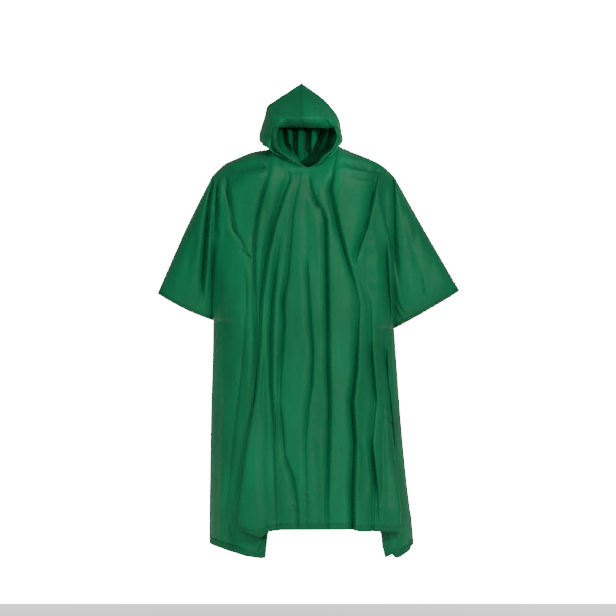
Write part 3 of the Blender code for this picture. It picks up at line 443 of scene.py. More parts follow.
# ------------ looks
# Cloth materials: setting of their colour, roughness over the coating's, height of the bump
CLOTHS = {
    "coated_green_cloth": ("cloth_colour", 0.0, 0.0005),
    "turned_hem_cloth": ("hem_colour", 0.04, 0.0006),
    # The face hem's colour is the doubled edge's own colour, darkened further to paint the shade that
    # falls on the edge round the face under the brim: painted shade.
    "face_hem_cloth": ("face_hem_colour", 0.0, 0.0006),
    "sewing_thread": ("thread_colour", 0.17, 0.0002),
}
SURFACE_GROUP = "rain_cloth_surface"
BUMP_STRENGTH = 0.55
SHINE = 0.20
SHEEN = 0.02
SHEEN_ROUGHNESS = 0.5
MOTTLE = 0.16                # how far the cloth's colour strays to both sides
GLOSS_SPREAD = 0.06          # and its roughness
NOISE_LOW = 0.30             # the part of the noise that they follow
NOISE_HIGH = 0.70
STRETCH = (1.0, 1.0, 0.35)   # draws the crinkle and the patches out down the cloth
CRINKLE_NOISE = (85.0, 4.0, 0.6)     # scale, detail, distortion
PATCH_NOISE = (14.0, 5.0)
WEAR_NOISE = (42.0, 3.0)

# Soft lights: name, place, size, power
LIGHTS = (
    ("key", (2.6, -3.6, 2.4), 1.1, 172.0),
    ("front", (-0.3, -5.2, 0.5), 1.8, 88.0),
    ("left fill", (-3.4, -2.9, 0.4), 2.0, 66.0),
    ("back", (3.0, 4.4, 0.9), 2.0, 250.0),
    ("back fill", (-3.0, 4.4, 0.6), 2.0, 180.0),
)
LIGHT_TARGET = (0.0, 0.0, -0.4)
# A narrow lamp that reaches into the hood: place, target, cone, radius, power
HOOD_LAMP = ((1.55, -4.55, 0.14), (0.01, 0.05, 0.01), 0.050, 0.08, 1050.0)
SENSOR = 36.0
CAMERA_DISTANCE = 12.0
VIEW_END = 60.0              # how far the camera sees
FRAME_WIDTH = 1.7864         # what the square frame takes in at the garment
FRAME_CENTRE = (0.0096, -0.4524)


# ------------ reading the tables
def slopes(places, values):
    """Slopes of a smooth line through the stations that never overshoots them."""
    rises = np.diff(values) / np.diff(places)
    result = np.zeros(len(places))
    result[[0, -1]] = rises[[0, -1]]
    before = rises[:-1]
    after = rises[1:]
    same = before * after > 0.0
    result[1:-1][same] = 2.0 * before[same] * after[same] / (before[same] + after[same])
    return result


def read_table(table, at):
    """Every column after the first, read smoothly at places of the first column."""
    places, *columns = np.array(table, dtype=float).T
    at = np.clip(at, places[0], places[-1])
    index = np.clip(np.searchsorted(places, at, side="right") - 1, 0, len(places) - 2)
    step = places[index + 1] - places[index]
    share = (at - places[index]) / step
    result = []
    for values in columns:
        slope = slopes(places, values)
        result.append(
            (1 + 2 * share) * (1 - share) ** 2 * values[index]
            + share * (1 - share) ** 2 * step * slope[index]
            + share ** 2 * (3 - 2 * share) * values[index + 1]
            + share ** 2 * (share - 1) * step * slope[index + 1]
        )
    return result


def mix(start, end, share):
    return start + (end - start) * share


def ease(share):
    share = np.clip(share, 0.0, 1.0)
    return share * share * (3.0 - 2.0 * share)


def quarter_round(share):
    """Rise of a quarter circle from 0 at the edge to 1."""
    return np.sqrt(1.0 - (1.0 - np.clip(share, 0.0, 1.0)) ** 2)


def unit(vectors):
    return vectors / np.maximum(np.linalg.norm(vectors, axis=-1, keepdims=True), TINY)


def lengths_along(path):
    """Length from a path's start to each of its points."""
    return np.concatenate(([0.0], np.cumsum(np.linalg.norm(np.diff(path, axis=0), axis=1))))


def at_length(at, lengths, values):
    """Values that belong to a path's points, read at one length along it."""
    return np.array([np.interp(at, lengths, column) for column in values.T])


def creasing(across, down, seed):
    """Fine uneven creasing of handled cloth, as a height over two lengths."""
    total = np.zeros_like(across)
    for layer, (cell_x, cell_z, height) in enumerate(CRINKLES):
        lattice = np.random.RandomState(seed + layer).uniform(-1.0, 1.0, (LATTICE, LATTICE))
        column = across / cell_x + LATTICE / 2
        row = down / cell_z + LATTICE / 2
        i, j = (np.floor(place).astype(int) for place in (column, row))
        u = ease(column - i)
        v = ease(row - j)
        i, j = (np.clip(place, 0, LATTICE - 2) for place in (i, j))
        upper = mix(lattice[j, i], lattice[j, i + 1], u)
        lower = mix(lattice[j + 1, i], lattice[j + 1, i + 1], u)
        total += height * mix(upper, lower, v)
    return total


def one_sided(place, middle, left_reach, right_reach):
    """A bump that falls off faster on one side than on the other."""
    offset = place - middle
    return np.exp(-(offset / np.where(offset < 0.0, left_reach, right_reach)) ** 2)


def press(distance, half_width, depth):
    """Depth of a crease: a trough, then a steep wall up to a crest that slopes off gently."""
    place = distance / half_width
    trough = one_sided(place, TROUGH_PLACE, TROUGH_REACH, WALL_REACH)
    crest = one_sided(place, CREST_PLACE, WALL_REACH, CREST_REACH)
    return depth * (trough - CREST * crest)


def creases_at(onward, sideways, creases):
    """Depth of finer creases, from the places along them and to their side."""
    total = np.zeros_like(sideways)
    for _, half_width, *stations in creases:
        places, line, depth = mm(*stations).T
        here = np.interp(onward, places, depth, left=0.0, right=0.0)
        total += press(sideways - np.interp(onward, places, line), half_width / 1000.0, here)
    return total


# ------------ meshes
def quads_of(grid):
    """Quads of a grid of indices; those that a repeated index makes triangles are dropped later."""
    corners = (grid[:-1, :-1], grid[:-1, 1:], grid[1:, 1:], grid[1:, :-1])
    return np.stack([corner.ravel() for corner in corners], axis=1)


def point_normals(points, faces):
    """Unit normals of a skin's points, as the mean of its faces'."""
    a, b, c, d = (points[faces[:, corner]] for corner in range(4))
    normals = np.cross(c - a, d - b)
    result = np.zeros_like(points)
    for corner in range(4):
        np.add.at(result, faces[:, corner], normals)
    return unit(result)


def closed_wall(outer, inner, faces):
    """A closed thin wall: outer skin, inner skin and the edge between them."""
    starts = faces.ravel()
    ends = np.roll(faces, -1, axis=1).ravel()
    count = len(outer)
    alone = ~np.isin(starts * count + ends, ends * count + starts)
    start, end = starts[alone], ends[alone]
    rim = np.stack((end, start, start + count, end + count), axis=1)
    return np.vstack((outer, inner)), np.vstack((faces, faces[:, ::-1] + count, rim))


def make_piece(name, points, faces, material, slot, node=None):
    """A mesh that rides on the body, wears a material and may hide the solid it takes the place of."""
    mesh = bpy.data.meshes.new(name)
    mesh.from_pydata(points.tolist(), [], faces.tolist())
    mesh.update()
    mesh.shade_smooth()
    mesh.materials.append(material)
    piece = bpy.data.objects.new(name, mesh)
    bpy.context.scene.collection.objects.link(piece)
    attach(piece, BODY)
    if node:
        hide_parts(node)
    return piece


# ------------ neckline
def neck_half(side, x):
    """Where each x lies in its half of the neckline, with the half's reach and its end's height."""
    middle = NECK_MIDDLE[side][0]
    end_x, end_z = (np.where(x < middle, *ends) for ends in zip(*NECK_END.values()))
    reach = end_x - middle
    return (x - middle) / reach, reach, end_z


def neck_at(side, x):
    """Half depth and height of the neckline at each x, and where there is a neckline."""
    _, middle_y, middle_z = NECK_MIDDLE[side]
    share, _, end_z = neck_half(side, x)
    cosine = np.sqrt(1.0 - np.clip(share, 0.0, 1.0) ** 2)
    z = end_z + (middle_z - end_z) * cosine ** NECK_DIP_POWER
    return abs(middle_y) * cosine, z, share < 1.0


def neck_point(hand, place):
    """Neckline points of one hand and their outward directions; place is 0 in front, 1 behind."""
    end_x, end_z = NECK_END[hand]
    in_front = place <= 0.5
    x, y, z = (np.where(in_front, *middles) for middles in zip(*NECK_MIDDLE.values()))
    turn = np.where(in_front, place, 1.0 - place) * math.pi
    reach = end_x - x
    cosine = np.maximum(np.cos(turn), 0.0)
    height = end_z + (z - end_z) * cosine ** NECK_DIP_POWER
    points = np.stack((x + reach * np.sin(turn), y * cosine, height), axis=1)
    return points, unit(np.stack((np.sin(turn) / reach, cosine / y, 0.0 * turn), axis=1))


# ------------ front and back panels
def down_at(row):
    """How far down a row lies: 0 is the top, 1 the armpits and 2 the hem."""
    if row <= 1.0:
        return mix(COVER_TOP, COVER_END, row)
    return mix(COVER_END, SKIRT_END, row - 1.0)


def armhole_depth(row):
    """Half the space between the panels beside the sleeve, which closes at the armpit."""
    if row > 1.0:
        return SEAM_GAP / 2
    return ARMHOLE_PINCH + (ARMHOLE_DEPTH - ARMHOLE_PINCH) * math.sqrt(1 - row ** ARMHOLE_POWER)


def edges_at(row):
    """Left and right edge of the body at a row."""
    if row <= 1.0:
        return [mix(SLEEVE_TOP[hand][0][0], ARMPIT[hand][0], row) for hand in HANDS]
    return read_table(SIDE_EDGE, down_at(row))


def panel_rows():
    """Rows from the top to the hem, closest together where the cloth turns over the shoulder."""
    top = TOP_ROWS_END * (np.arange(TOP_ROWS) / TOP_ROWS) ** 2
    cover = np.linspace(TOP_ROWS_END, 1.0, COVER_ROW_COUNT)
    skirt = 1.0 + np.linspace(0.0, 1.0, SKIRT_ROW_COUNT + 1)[1:]
    return np.concatenate((top, cover, skirt))


class PanelForm:
    """Front or back: one piece of cloth that covers half the body and half of both arms."""

    def __init__(self, side):
        self.side = side
        self.sign = -1.0 if side == "front" else 1.0
        self.folds = [(kind, top / 1000.0, hem / 1000.0, mm(*stations))
                      for _, kind, top, hem, *stations in FOLDS[side]]
        self.fold_of, self.share_of = self.columns()

    def columns(self):
        """Places across the cloth: the fold to the left of each column, and the share after it."""
        kinds = [TROUGH] + [fold[0] for fold in self.folds] + [TROUGH]
        counts = [COLUMNS_PER_FLANK if kind == TROUGH else COLUMNS_PER_LAP_FLANK for kind in kinds]
        folds = []
        shares = []
        for index, (near, far) in enumerate(zip(counts, counts[1:])):
            for first, last, count in ((0.0, FLANK, near), (FLANK, 1 - FLANK, COLUMNS_BETWEEN),
                                       (1 - FLANK, 1.0, far)):
                folds += [index] * count
                shares += list(np.linspace(first, last, count, endpoint=False))
        return np.array(folds + [len(kinds) - 2]), np.array(shares + [1.0])

    def top_at(self, x):
        """Half depth and height of the upper edge at each x."""
        depth, z, inside = neck_at(self.side, x)
        shoulder_z = np.where(x < 0.0, *(read_table(SHOULDER[hand], x)[0] for hand in HANDS))
        return np.where(inside, depth, SEAM_GAP / 2), np.where(inside, z, shoulder_z)

    def height(self, x, row):
        """Height of a row at each x, between the upper edge, the armpits and the hem."""
        left, right = ARMPIT.values()
        middle = mix(left[1], right[1], (x - left[0]) / (right[0] - left[0]))
        if row <= 1.0:
            return mix(self.top_at(x)[1], middle, row)
        return mix(middle, -np.interp(x, *HEM[self.side].T), row - 1.0)

    def base(self, x, row, left, right):
        """Depth of the unfolded cloth."""
        share = np.minimum(np.abs(x / np.where(x < 0.0, left, right)), 1.0)
        full = read_table(BODY_DEPTH, down_at(row))[SIDES.index(self.side)]
        inner = np.sqrt(np.maximum(1.0 - share ** SECTION_POWER, 0.0))
        depth = armhole_depth(row) * (1.0 - inner) ** ARMHOLE_REACH + full * inner
        top_y, top_z = self.top_at(x)
        turned = quarter_round((top_z - self.height(x, row)) / SHOULDER_ROUND)
        return mix(top_y, depth, turned)

    def spread_for_neck(self, x, row):
        """Moves columns towards the sides of the neckline, where it turns fastest."""
        share, reach, _ = neck_half(self.side, x)
        turn = np.clip(share, 0.0, 1.0) * math.pi / 2
        spread = NECK_MIDDLE[self.side][0] + reach * np.sin(turn)
        return mix(np.where(share < 1.0, spread, x), x, ease(row / NECK_BLEND))

    def fold_at(self, stations, row):
        """Place, depth, overlap and lift of a fold where it crosses a row of the cloth."""
        down = down_at(row)
        for _ in range(FOLD_ROUNDS):
            values = [float(np.interp(down, stations[:, 0], column)) for column in stations.T[1:]]
            down = -float(self.height(np.array(values[:1]), row)[0])
        values[1] *= float(ease((down - FOLD_TOP) / FOLD_TOP_FADE))
        return values + [0.0] * (4 - len(values))

    def body_row(self, row):
        """Points of one row across the body."""
        left, right = edges_at(row)
        hem_share = (down_at(row) - COVER_TOP) / (SKIRT_END - COVER_TOP)
        lines = [(left, SIDE_FADE, 0.0, 0.0, 0.0, TROUGH)]
        for kind, top_width, hem_width, stations in self.folds:
            x, *values = self.fold_at(stations, row)
            width = mix(top_width, hem_width, hem_share ** 2)
            if kind == TROUGH:
                width *= FOLD_NARROWING
            lines.append((x, width, *values, kind))
        lines.append((right, SIDE_FADE, 0.0, 0.0, 0.0, TROUGH))
        lines = np.array(lines)
        here = lines[self.fold_of]
        following = lines[self.fold_of + 1]
        share = self.share_of
        distance = following[:, 0] - here[:, 0]
        near = here[:, 0] + np.minimum(here[:, 1], CROWDING * distance)
        far = following[:, 0] - np.minimum(following[:, 1], CROWDING * distance)
        before = share <= FLANK
        after = share >= 1.0 - FLANK
        x = mix(near, far, (share - FLANK) / (1.0 - 2 * FLANK))
        x = np.where(before, mix(here[:, 0], near, share / FLANK), x)
        x = np.where(after, mix(following[:, 0], far, (1.0 - share) / FLANK), x)
        half = np.where(before, share / FLANK, np.where(after, -(1 - share) / FLANK, 1.0))
        overlap, lift, kind = np.where(after[:, None], following, here)[:, 3:].T
        across, raised = read_table(LAP_SECTION, half)
        sideways = overlap * across
        inward = -lift * raised * kind
        for (_, top_width, _, _), line in zip(self.folds, lines[1:-1]):
            inward += press(x - line[0], top_width * FOLD_NARROWING, line[2] * FOLD_FLATTENING)
        billow = BILLOW * distance * np.sin(math.pi * share) ** 2
        x = self.spread_for_neck(x, row)
        depth = self.base(x + LAP_FOLLOW * sideways, row, left, right)
        settled = quarter_round(row / FOLD_START_ROW)
        fade = np.clip(np.minimum(x - left, right - x) / SIDE_FADE, 0.0, 1.0)
        inward = (inward - billow) * settled * fade
        return np.stack((x + sideways, depth - inward, self.height(x, row)), axis=1)

    def sleeve_row(self, hand, row, across):
        """Points of one row across a sleeve, from its armhole line, 0, to its upper edge, 1."""
        top_line = SLEEVE_TOP[hand]
        start_x, start_z = (mix(*ends, row) for ends in zip(top_line[0], ARMPIT[hand]))
        lengths = lengths_along(top_line)
        end_x, end_z = at_length(row * lengths[-1], lengths, top_line)
        turned = quarter_round((top_line[0][1] - start_z) / SHOULDER_ROUND)
        fading = np.sqrt(np.maximum(1.0 - across ** SLEEVE_SHOULDER_POWER, 0.0))
        swell = mix(SLEEVE_MID_BULGE, SLEEVE_BULGE, row ** 2)
        section = np.maximum(4.0 * across * (1.0 - across), 0.0) ** SLEEVE_SECTION_POWER
        depth = armhole_depth(row) * fading + swell * section
        breadth = math.hypot(end_x - start_x, end_z - start_z)
        for place, width, hollow, first, last in SLEEVE_FOLDS[(self.side, hand)]:
            offset = np.clip((across - place) / width, -1.0, 1.0)
            progress = min(max((row - first) / (last - first), 0.0), 1.0)
            fullness = min(width * breadth / SLEEVE_FOLD_WIDTH, 1.0) ** 2
            taper = math.sin(math.pi * progress) * fullness
            depth = depth - hollow * np.cos(offset * math.pi / 2) ** 2 * taper
        depth = np.maximum(depth * turned, SEAM_GAP / 2)
        sag = SLEEVE_SAG[hand] * row ** 3 * np.sin(math.pi * across)
        return np.stack((mix(start_x, end_x, across), depth, mix(start_z, end_z, across) - sag),
                        axis=1)

    def parts(self):
        """Grids of outer points, one for the body and one for each sleeve."""
        rows = panel_rows()
        covered = rows[rows <= 1.0]
        across = np.linspace(0.0, 1.0, SLEEVE_COLUMN_COUNT + 1)
        parts = {"body": np.array([self.body_row(row) for row in rows])}
        for hand, edge in EDGE_COLUMN.items():
            parts[hand] = np.array([self.sleeve_row(hand, row, across) for row in covered])
            parts[hand][:, 0] = parts["body"][:len(covered), edge]
        for part in parts.values():
            self.finish(part)
        return parts

    def finish(self, part):
        """Presses in the creases and turns depths into places."""
        x, depth, z = part[..., 0], part[..., 1], part[..., 2]
        inward = creases_at(-z, x, DOWN_CREASES[self.side]) + creasing(x, z, SEED[self.side])
        pressed = depth - inward * ease(depth / SIDE_FADE)
        part[..., 1] = self.sign * np.maximum(pressed, SEAM_GAP / 2)

    def skin(self):
        """Points and quads of the whole panel, with the grids of indices."""
        parts = self.parts()
        body = parts["body"]
        grids = {"body": np.arange(body[..., 0].size).reshape(body.shape[:2])}
        points = [body.reshape(-1, 3)]
        start = grids["body"].size
        for hand, edge in EDGE_COLUMN.items():
            added = parts[hand][1:, 1:]
            seam = grids["body"][:len(parts[hand]), edge]
            own = start + np.arange(added[..., 0].size).reshape(added.shape[:2])
            top = np.full((1, own.shape[1] + 1), seam[0])
            grid = np.vstack((top, np.column_stack((seam[1:], own))))
            grids[hand] = grid[:, ::-1] if hand == "left" else grid
            points.append(added.reshape(-1, 3))
            start += own.size
        faces = np.vstack([quads_of(grid) for grid in grids.values()])
        if self.side == "front":
            faces = faces[:, ::-1]
        points = np.vstack(points)
        inward = creases_at(points[:, 0], points[:, 2], ACROSS_CREASES[self.side])
        inward *= ease(np.abs(points[:, 1]) / SIDE_FADE)
        return points - point_normals(points, faces) * inward[:, None], faces, grids


# ------------ hood
def hood_grid(hand):
    """Outer points of one hood half, in rows from the neck up, from the face round to the back."""
    side_x, side_z = NECK_END[hand]
    neck = (0.0, *NECK_MIDDLE["front"], side_x, 0.0, side_z, *NECK_MIDDLE["back"][1:])
    table = np.vstack((neck, HOOD[hand]))
    place = np.linspace(0.0, 1.0, HOOD_COLUMN_COUNT + 1)
    neck_line, outward = neck_point(hand, place)
    seam_x = HOOD_SEAM_X + FROM_SEAM[hand] * SEAM_GAP / 2
    sine = np.sin(place * math.pi)
    onward = np.abs(np.cos(place * math.pi))
    rows = []
    for up in np.linspace(0.0, 1.0, HOOD_ROW_COUNT + 1):
        face_x, face_y, face_z, mid_x, mid_y, mid_z, seam_y, seam_z = read_table(table, up)
        end_x, end_y, end_z = (np.where(place <= 0.5, *ends) for ends in (
            (face_x, HOOD_SEAM_X), (face_y, seam_y), (face_z, seam_z)))
        dip = onward ** mix(NECK_DIP_POWER, 1.0, min(up / HOOD_DIP_END, 1.0))
        points = np.stack((mix(end_x, mid_x, sine), mix(mid_y, end_y, onward),
                           mix(mid_z, end_z, dip)), axis=1)
        points += outward * collar_folds(hand, place, up)[:, None]
        outward_y, sideways_x = gathers_at(points, up, place)
        points[:, 0] += sideways_x
        points[:, 1] += outward_y
        points[:, 1] += brim_tuck(points, up, place)
        if up == 0.0:
            points = neck_line + (0.0, 0.0, HOOD_LIFT)
        if up == 1.0:
            points[:, 0] = seam_x
        points[-1, 0] = seam_x
        rows.append(points)
    return np.array(rows)


def collar_folds(hand, place, up):
    """How far the folds beside the face opening stand out, over one row of the hood."""
    total = np.zeros_like(place)
    for own_hand, middle, half_width, height, first, last in COLLAR_FOLDS:
        if own_hand == hand and first < up < last:
            rise = math.sin(math.pi * (up - first) / (last - first)) ** COLLAR_POWER
            total += height * rise * np.exp(-((place - middle) / half_width) ** 2)
    return total


def gather_at(stations, x, z):
    """A gather's depth and half width at each height, and each x's offset in half widths."""
    height, line, depth, half_width = mm(*stations).T
    line, depth, half_width = (np.interp(z, height, column) for column in (line, depth, half_width))
    return depth, half_width, (x - line) / half_width


def gathers_at(points, up, place):
    """How far the gathers press the back of the hood out, and draw it sideways."""
    outward = np.zeros(len(points))
    sideways = np.zeros(len(points))
    x, z = points[:, 0], points[:, 2]
    for stations in GATHER_SLOTS:
        depth, half_width, offset = gather_at(stations, x, z)
        outward += GATHER_DEPTH * depth * ease((1.0 - np.abs(offset)) / GATHER_WALL)
        mouth = np.exp(-((np.abs(offset) - 1.0) / GATHER_MOUTH) ** 2)
        sideways -= GATHER_DRAWN * half_width * np.sign(offset) * mouth
    for stations in GATHER_RIDGES:
        depth, _, offset = gather_at(stations, x, z)
        outward -= depth * np.exp(-offset ** 2)
    above_neck = ease(up / GATHER_NECK_FADE)
    behind = above_neck * ease((place - GATHER_START) / GATHER_SIDE_FADE)
    below_top = ease((GATHER_TOP - z) / GATHER_TOP_FADE)
    room = ease(np.abs(x - HOOD_SEAM_X) / GATHER_SEAM_ROOM)
    drawn_in = GATHER_IN * below_top * above_neck * ease((place - GATHER_START) / GATHER_IN_FADE)
    return outward * behind - drawn_in, sideways * behind * below_top * room


def brim_tuck(points, up, place):
    """The brim's lower edge turned in over the face."""
    x, z = points[:, 0], points[:, 2]
    turned = np.clip((BRIM_FOLD - z) / (BRIM_FOLD - BRIM_LOW), 0.0, 1.0) ** BRIM_POWER
    left_end = ease((x - BRIM_ENDS[0]) / BRIM_END_FADE)
    right_end = ease((BRIM_ENDS[1] - x) / BRIM_END_FADE)
    sides = left_end * right_end * ease((BRIM_BACK - place) / BRIM_BACK_FADE)
    return BRIM_TUCK * turned * sides * ease((up - BRIM_START) / BRIM_START_FADE)


def hood_skin(hand):
    """Points and quads of one hood half, with its grid of indices."""
    points = hood_grid(hand)
    rows, columns = points.shape[:2]
    points = points.reshape(-1, 3)
    grid = np.arange(rows * columns).reshape(rows, columns)
    faces = quads_of(grid)
    if hand == "left":
        faces = faces[:, ::-1]
    up = np.repeat(np.arange(rows), columns) / (rows - 1)
    place = np.tile(np.arange(columns), rows) / (columns - 1)
    x, y, z = points.T
    pressed = creases_at(-z, x, DOWN_CREASES["hood"]) + creases_at(x, z, ACROSS_CREASES["hood"])
    pressed *= ease((HOOD_CREASE_END - place) / HOOD_CREASE_FADE)
    pressed += creasing(x + y, z, SEED["hood"]) * HOOD_RUFFLE
    pressed *= ease(up / HOOD_NECK_FADE) * ease((1.0 - up) / HOOD_SEAM_FADE)
    pressed *= ease((1.0 - place) / HOOD_SEAM_FADE)
    points = points - point_normals(points, faces) * pressed[:, None]
    from_seam = FROM_SEAM[hand] * (points[:, 0] - HOOD_SEAM_X)
    missing = np.maximum(SEAM_GAP / 2 - from_seam, 0.0) * (up > HOOD_CROWN)
    points[:, 0] += FROM_SEAM[hand] * missing
    return points, faces, grid


SKINS = {}


def skin_of(name):
    """The skin of a panel or a hood half, which is worked out once."""
    if name not in SKINS:
        SKINS[name] = PanelForm(name).skin() if name in SIDES else hood_skin(name)
    return SKINS[name]


# ------------ materials
def feed(tree, node, inputs):
    """Links or sets a node's inputs."""
    for socket, value in inputs.items():
        if isinstance(value, bpy.types.NodeSocket):
            tree.links.new(value, node.inputs[socket])
        else:
            node.inputs[socket].default_value = value


def add_node(tree, kind, inputs=None, **settings):
    node = tree.nodes.new(kind)
    for label, value in settings.items():
        setattr(node, label, value)
    feed(tree, node, inputs or {})
    return node


def maths(tree, operation, *values):
    node = add_node(tree, "ShaderNodeMath", dict(enumerate(values)), operation=operation)
    return node.outputs[0]


def noise(tree, place, scale, detail, distortion=0.0):
    inputs = {"Vector": place, "Scale": scale, "Detail": detail, "Distortion": distortion}
    return add_node(tree, "ShaderNodeTexNoise", inputs).outputs["Fac"]


def cloth_surface_group():
    """Weave, fine crinkle and patchy tone of coated rain cloth."""
    group = bpy.data.node_groups.new(SURFACE_GROUP, "ShaderNodeTree")
    for label, value in (("Weave size", 0.0011), ("Weave depth", 0.25), ("Crinkle depth", 0.6)):
        socket = group.interface.new_socket(label, in_out="INPUT", socket_type="NodeSocketFloat")
        socket.default_value = value
    for label in ("Height", "Tone", "Gloss"):
        group.interface.new_socket(label, in_out="OUTPUT", socket_type="NodeSocketFloat")
    entry = add_node(group, "NodeGroupInput").outputs
    place = add_node(group, "ShaderNodeTexCoord").outputs["Object"]
    split = add_node(group, "ShaderNodeSeparateXYZ", {0: place}).outputs
    waves = []
    for axis in ("X", "Z"):
        turns = maths(group, "DIVIDE", split[axis], entry["Weave size"])
        waves.append(maths(group, "SINE", maths(group, "MULTIPLY", turns, 2.0 * math.pi)))
    weave = maths(group, "MULTIPLY", maths(group, "MULTIPLY", *waves), entry["Weave depth"])
    mapping = add_node(group, "ShaderNodeMapping", {"Vector": place, "Scale": STRETCH})
    stretched = mapping.outputs[0]
    crinkle = noise(group, stretched, *CRINKLE_NOISE)
    crinkle = maths(group, "MULTIPLY", crinkle, entry["Crinkle depth"])
    add_node(group, "NodeGroupOutput", {
        "Height": maths(group, "ADD", weave, crinkle),
        "Tone": noise(group, stretched, *PATCH_NOISE),
        "Gloss": noise(group, place, *WEAR_NOISE),
    })
    return group


def cloth_material(name, looks):
    """Coated cloth with the shared surface group feeding its colour, roughness and bump."""
    if name in bpy.data.materials:
        return bpy.data.materials[name]
    colour_name, rougher, bump_height = CLOTHS[name]
    roughness = looks.cloth_roughness + rougher
    material = bpy.data.materials.new(name)
    material.use_nodes = True
    tree = material.node_tree
    group = bpy.data.node_groups.get(SURFACE_GROUP) or cloth_surface_group()
    surface = add_node(tree, "ShaderNodeGroup", node_tree=group).outputs
    ramp = add_node(tree, "ShaderNodeValToRGB", {"Fac": surface["Tone"]})
    ends = ((NOISE_LOW, 1.0 - MOTTLE), (NOISE_HIGH, 1.0 + MOTTLE))
    for element, (position, factor) in zip(ramp.color_ramp.elements, ends):
        element.position = position
        element.color = (*(channel * factor for channel in getattr(looks, colour_name)), 1.0)
    gloss = add_node(tree, "ShaderNodeMapRange", {
        "Value": surface["Gloss"], "From Min": NOISE_LOW, "From Max": NOISE_HIGH,
        "To Min": roughness - GLOSS_SPREAD, "To Max": roughness + GLOSS_SPREAD,
    })
    bump = add_node(tree, "ShaderNodeBump", {
        "Height": surface["Height"], "Strength": BUMP_STRENGTH, "Distance": bump_height,
    })
    feed(tree, tree.nodes["Principled BSDF"], {
        "Base Color": ramp.outputs["Color"], "Roughness": gloss.outputs["Result"],
        "Normal": bump.outputs["Normal"], "Specular IOR Level": SHINE,
        "Sheen Weight": SHEEN, "Sheen Roughness": SHEEN_ROUGHNESS,
    })
    return material


# ------------ pieces
def make_cloth(skin, name, slot, node, context):
    """A cloth piece: a skin with a closed thin wall behind it."""
    points, faces, _ = skin_of(skin)
    inner = points - point_normals(points, faces) * context.scene.poncho_sizes.cloth_thickness
    wall = closed_wall(points, inner, faces)
    material = cloth_material("coated_green_cloth", context.scene.poncho_looks)
    return make_piece(name, *wall, material, slot, node)


def tidy_mesh(mesh):
    """Drops the collapsed faces where a sleeve's rows meet in one point."""
    mesh.validate()
    mesh.update()
    mesh.shade_smooth()


def last_rows(grid, points, width):
    """The rows of a grid that lie within a width of its last row, and the one just past it."""
    middle = grid[::-1, grid.shape[1] // 2]
    reach = lengths_along(points[middle])[1:]
    return grid[-(int(np.searchsorted(reach, width)) + 2):]


def edge_strips(sizes):
    """Every doubled edge: name, points and faces of its skin, strip, width and solid's name."""
    for side in SIDES:
        points, faces, grids = skin_of(side)
        edges = (("hem", "hem_band", grids["body"]),
                 ("left_sleeve_hem", "left_sleeve_band", grids["left"][:, :-1]),
                 ("right_sleeve_hem", "right_sleeve_band", grids["right"][:, 1:]))
        for edge, band, grid in edges:
            strip = last_rows(grid, points, sizes.hem_width)
            yield f"{side}_{edge}", points, faces, strip, sizes.hem_width, f"{side}_{band}"
    width = sizes.face_hem_width
    for hand in HANDS:
        points, faces, grid = skin_of(hand)
        strip = last_rows(grid[FACE_EDGE_START:, ::-1].T, points, width)
        yield f"hood_{hand}_face_hem", points, faces, strip, width, f"hood_{hand}_face_band"


def band_on(points, faces, strip, height, rise):
    """A doubled edge that lies on a skin, over the quads of one strip of its grid."""
    chosen = faces[np.isin(faces, strip).all(axis=1)]
    own, order = np.unique(chosen, return_inverse=True)
    normals = point_normals(points, faces)[own]
    lifted = points[own] + normals * rise
    return closed_wall(lifted + normals * height, lifted, order.reshape(chosen.shape))


def line_at(strip, points, normals, distance, rise):
    """Points a distance in from a strip's last row, lifted off the cloth, and their normals."""
    line = []
    ups = []
    for column in strip.T[:, ::-1]:
        near = column[:ROWS_NEAR_EDGE]
        lengths = lengths_along(points[near])
        up = unit(at_length(distance, lengths, normals[near]))
        line.append(at_length(distance, lengths, points[near]) + up * rise)
        ups.append(up)
    return np.array(line), np.array(ups)


# A stitch's points: 0 its start, 1 to 4 and 5 to 8 the rings round it, 9 its end
STITCH_FACES = np.array([
    face
    for k, after in ((1, 2), (2, 3), (3, 4), (4, 1))
    for face in ((0, after, k), (k, after, k + 4), (after, after + 4, k + 4), (k + 4, after + 4, 9))
])


def stitches_along(line, normals, sizes):
    """Small closed spindles of thread laid end to end along a line on the cloth."""
    lengths = lengths_along(line)
    pace = sizes.stitch_length + sizes.stitch_gap
    width = sizes.thread_width
    points = []
    faces = []
    for number in range(int(lengths[-1] / pace)):
        start = at_length(number * pace, lengths, line)
        end = at_length(number * pace + sizes.stitch_length, lengths, line)
        up = unit(at_length((number + 0.5) * pace, lengths, normals))
        side = unit(np.cross(unit(end - start), up))
        faces.append(STITCH_FACES + len(points))
        points.append(start)
        for share in STITCH_RINGS:
            centre = mix(start, end, share) + up * width * STITCH_RISE
            points += [centre + way * width / 2 for way in (side, up, -side, -up)]
        points.append(end)
    return np.array(points), np.vstack(faces)


def tube(path, radius, closed):
    """A round welt along a path, closed in a ring or capped at both ends."""
    ahead = np.roll(path, -1, axis=0) - np.roll(path, 1, axis=0)
    if not closed:
        ahead[0] = path[1] - path[0]
        ahead[-1] = path[-1] - path[-2]
    ahead = unit(ahead)
    across = unit(np.cross(ahead, SEAM_LEAN))
    upward = np.cross(ahead, across)
    turns = np.arange(SEAM_SIDES)[:, None] / SEAM_SIDES * 2 * math.pi
    ring = across[:, None] * np.cos(turns) + upward[:, None] * np.sin(turns)
    points = (path[:, None] + ring * radius).reshape(-1, 3)
    grid = np.arange(len(points)).reshape(len(path), SEAM_SIDES)
    grid = np.column_stack((grid, grid[:, 0]))
    if closed:
        return points, quads_of(np.vstack((grid, grid[0])).T)
    cap = np.array([(0, k, k + 1, k + 2) for k in range(1, SEAM_SIDES - 1, 2)])
    return points, np.vstack((quads_of(grid.T), grid[0][cap], grid[-1][cap][:, ::-1]))


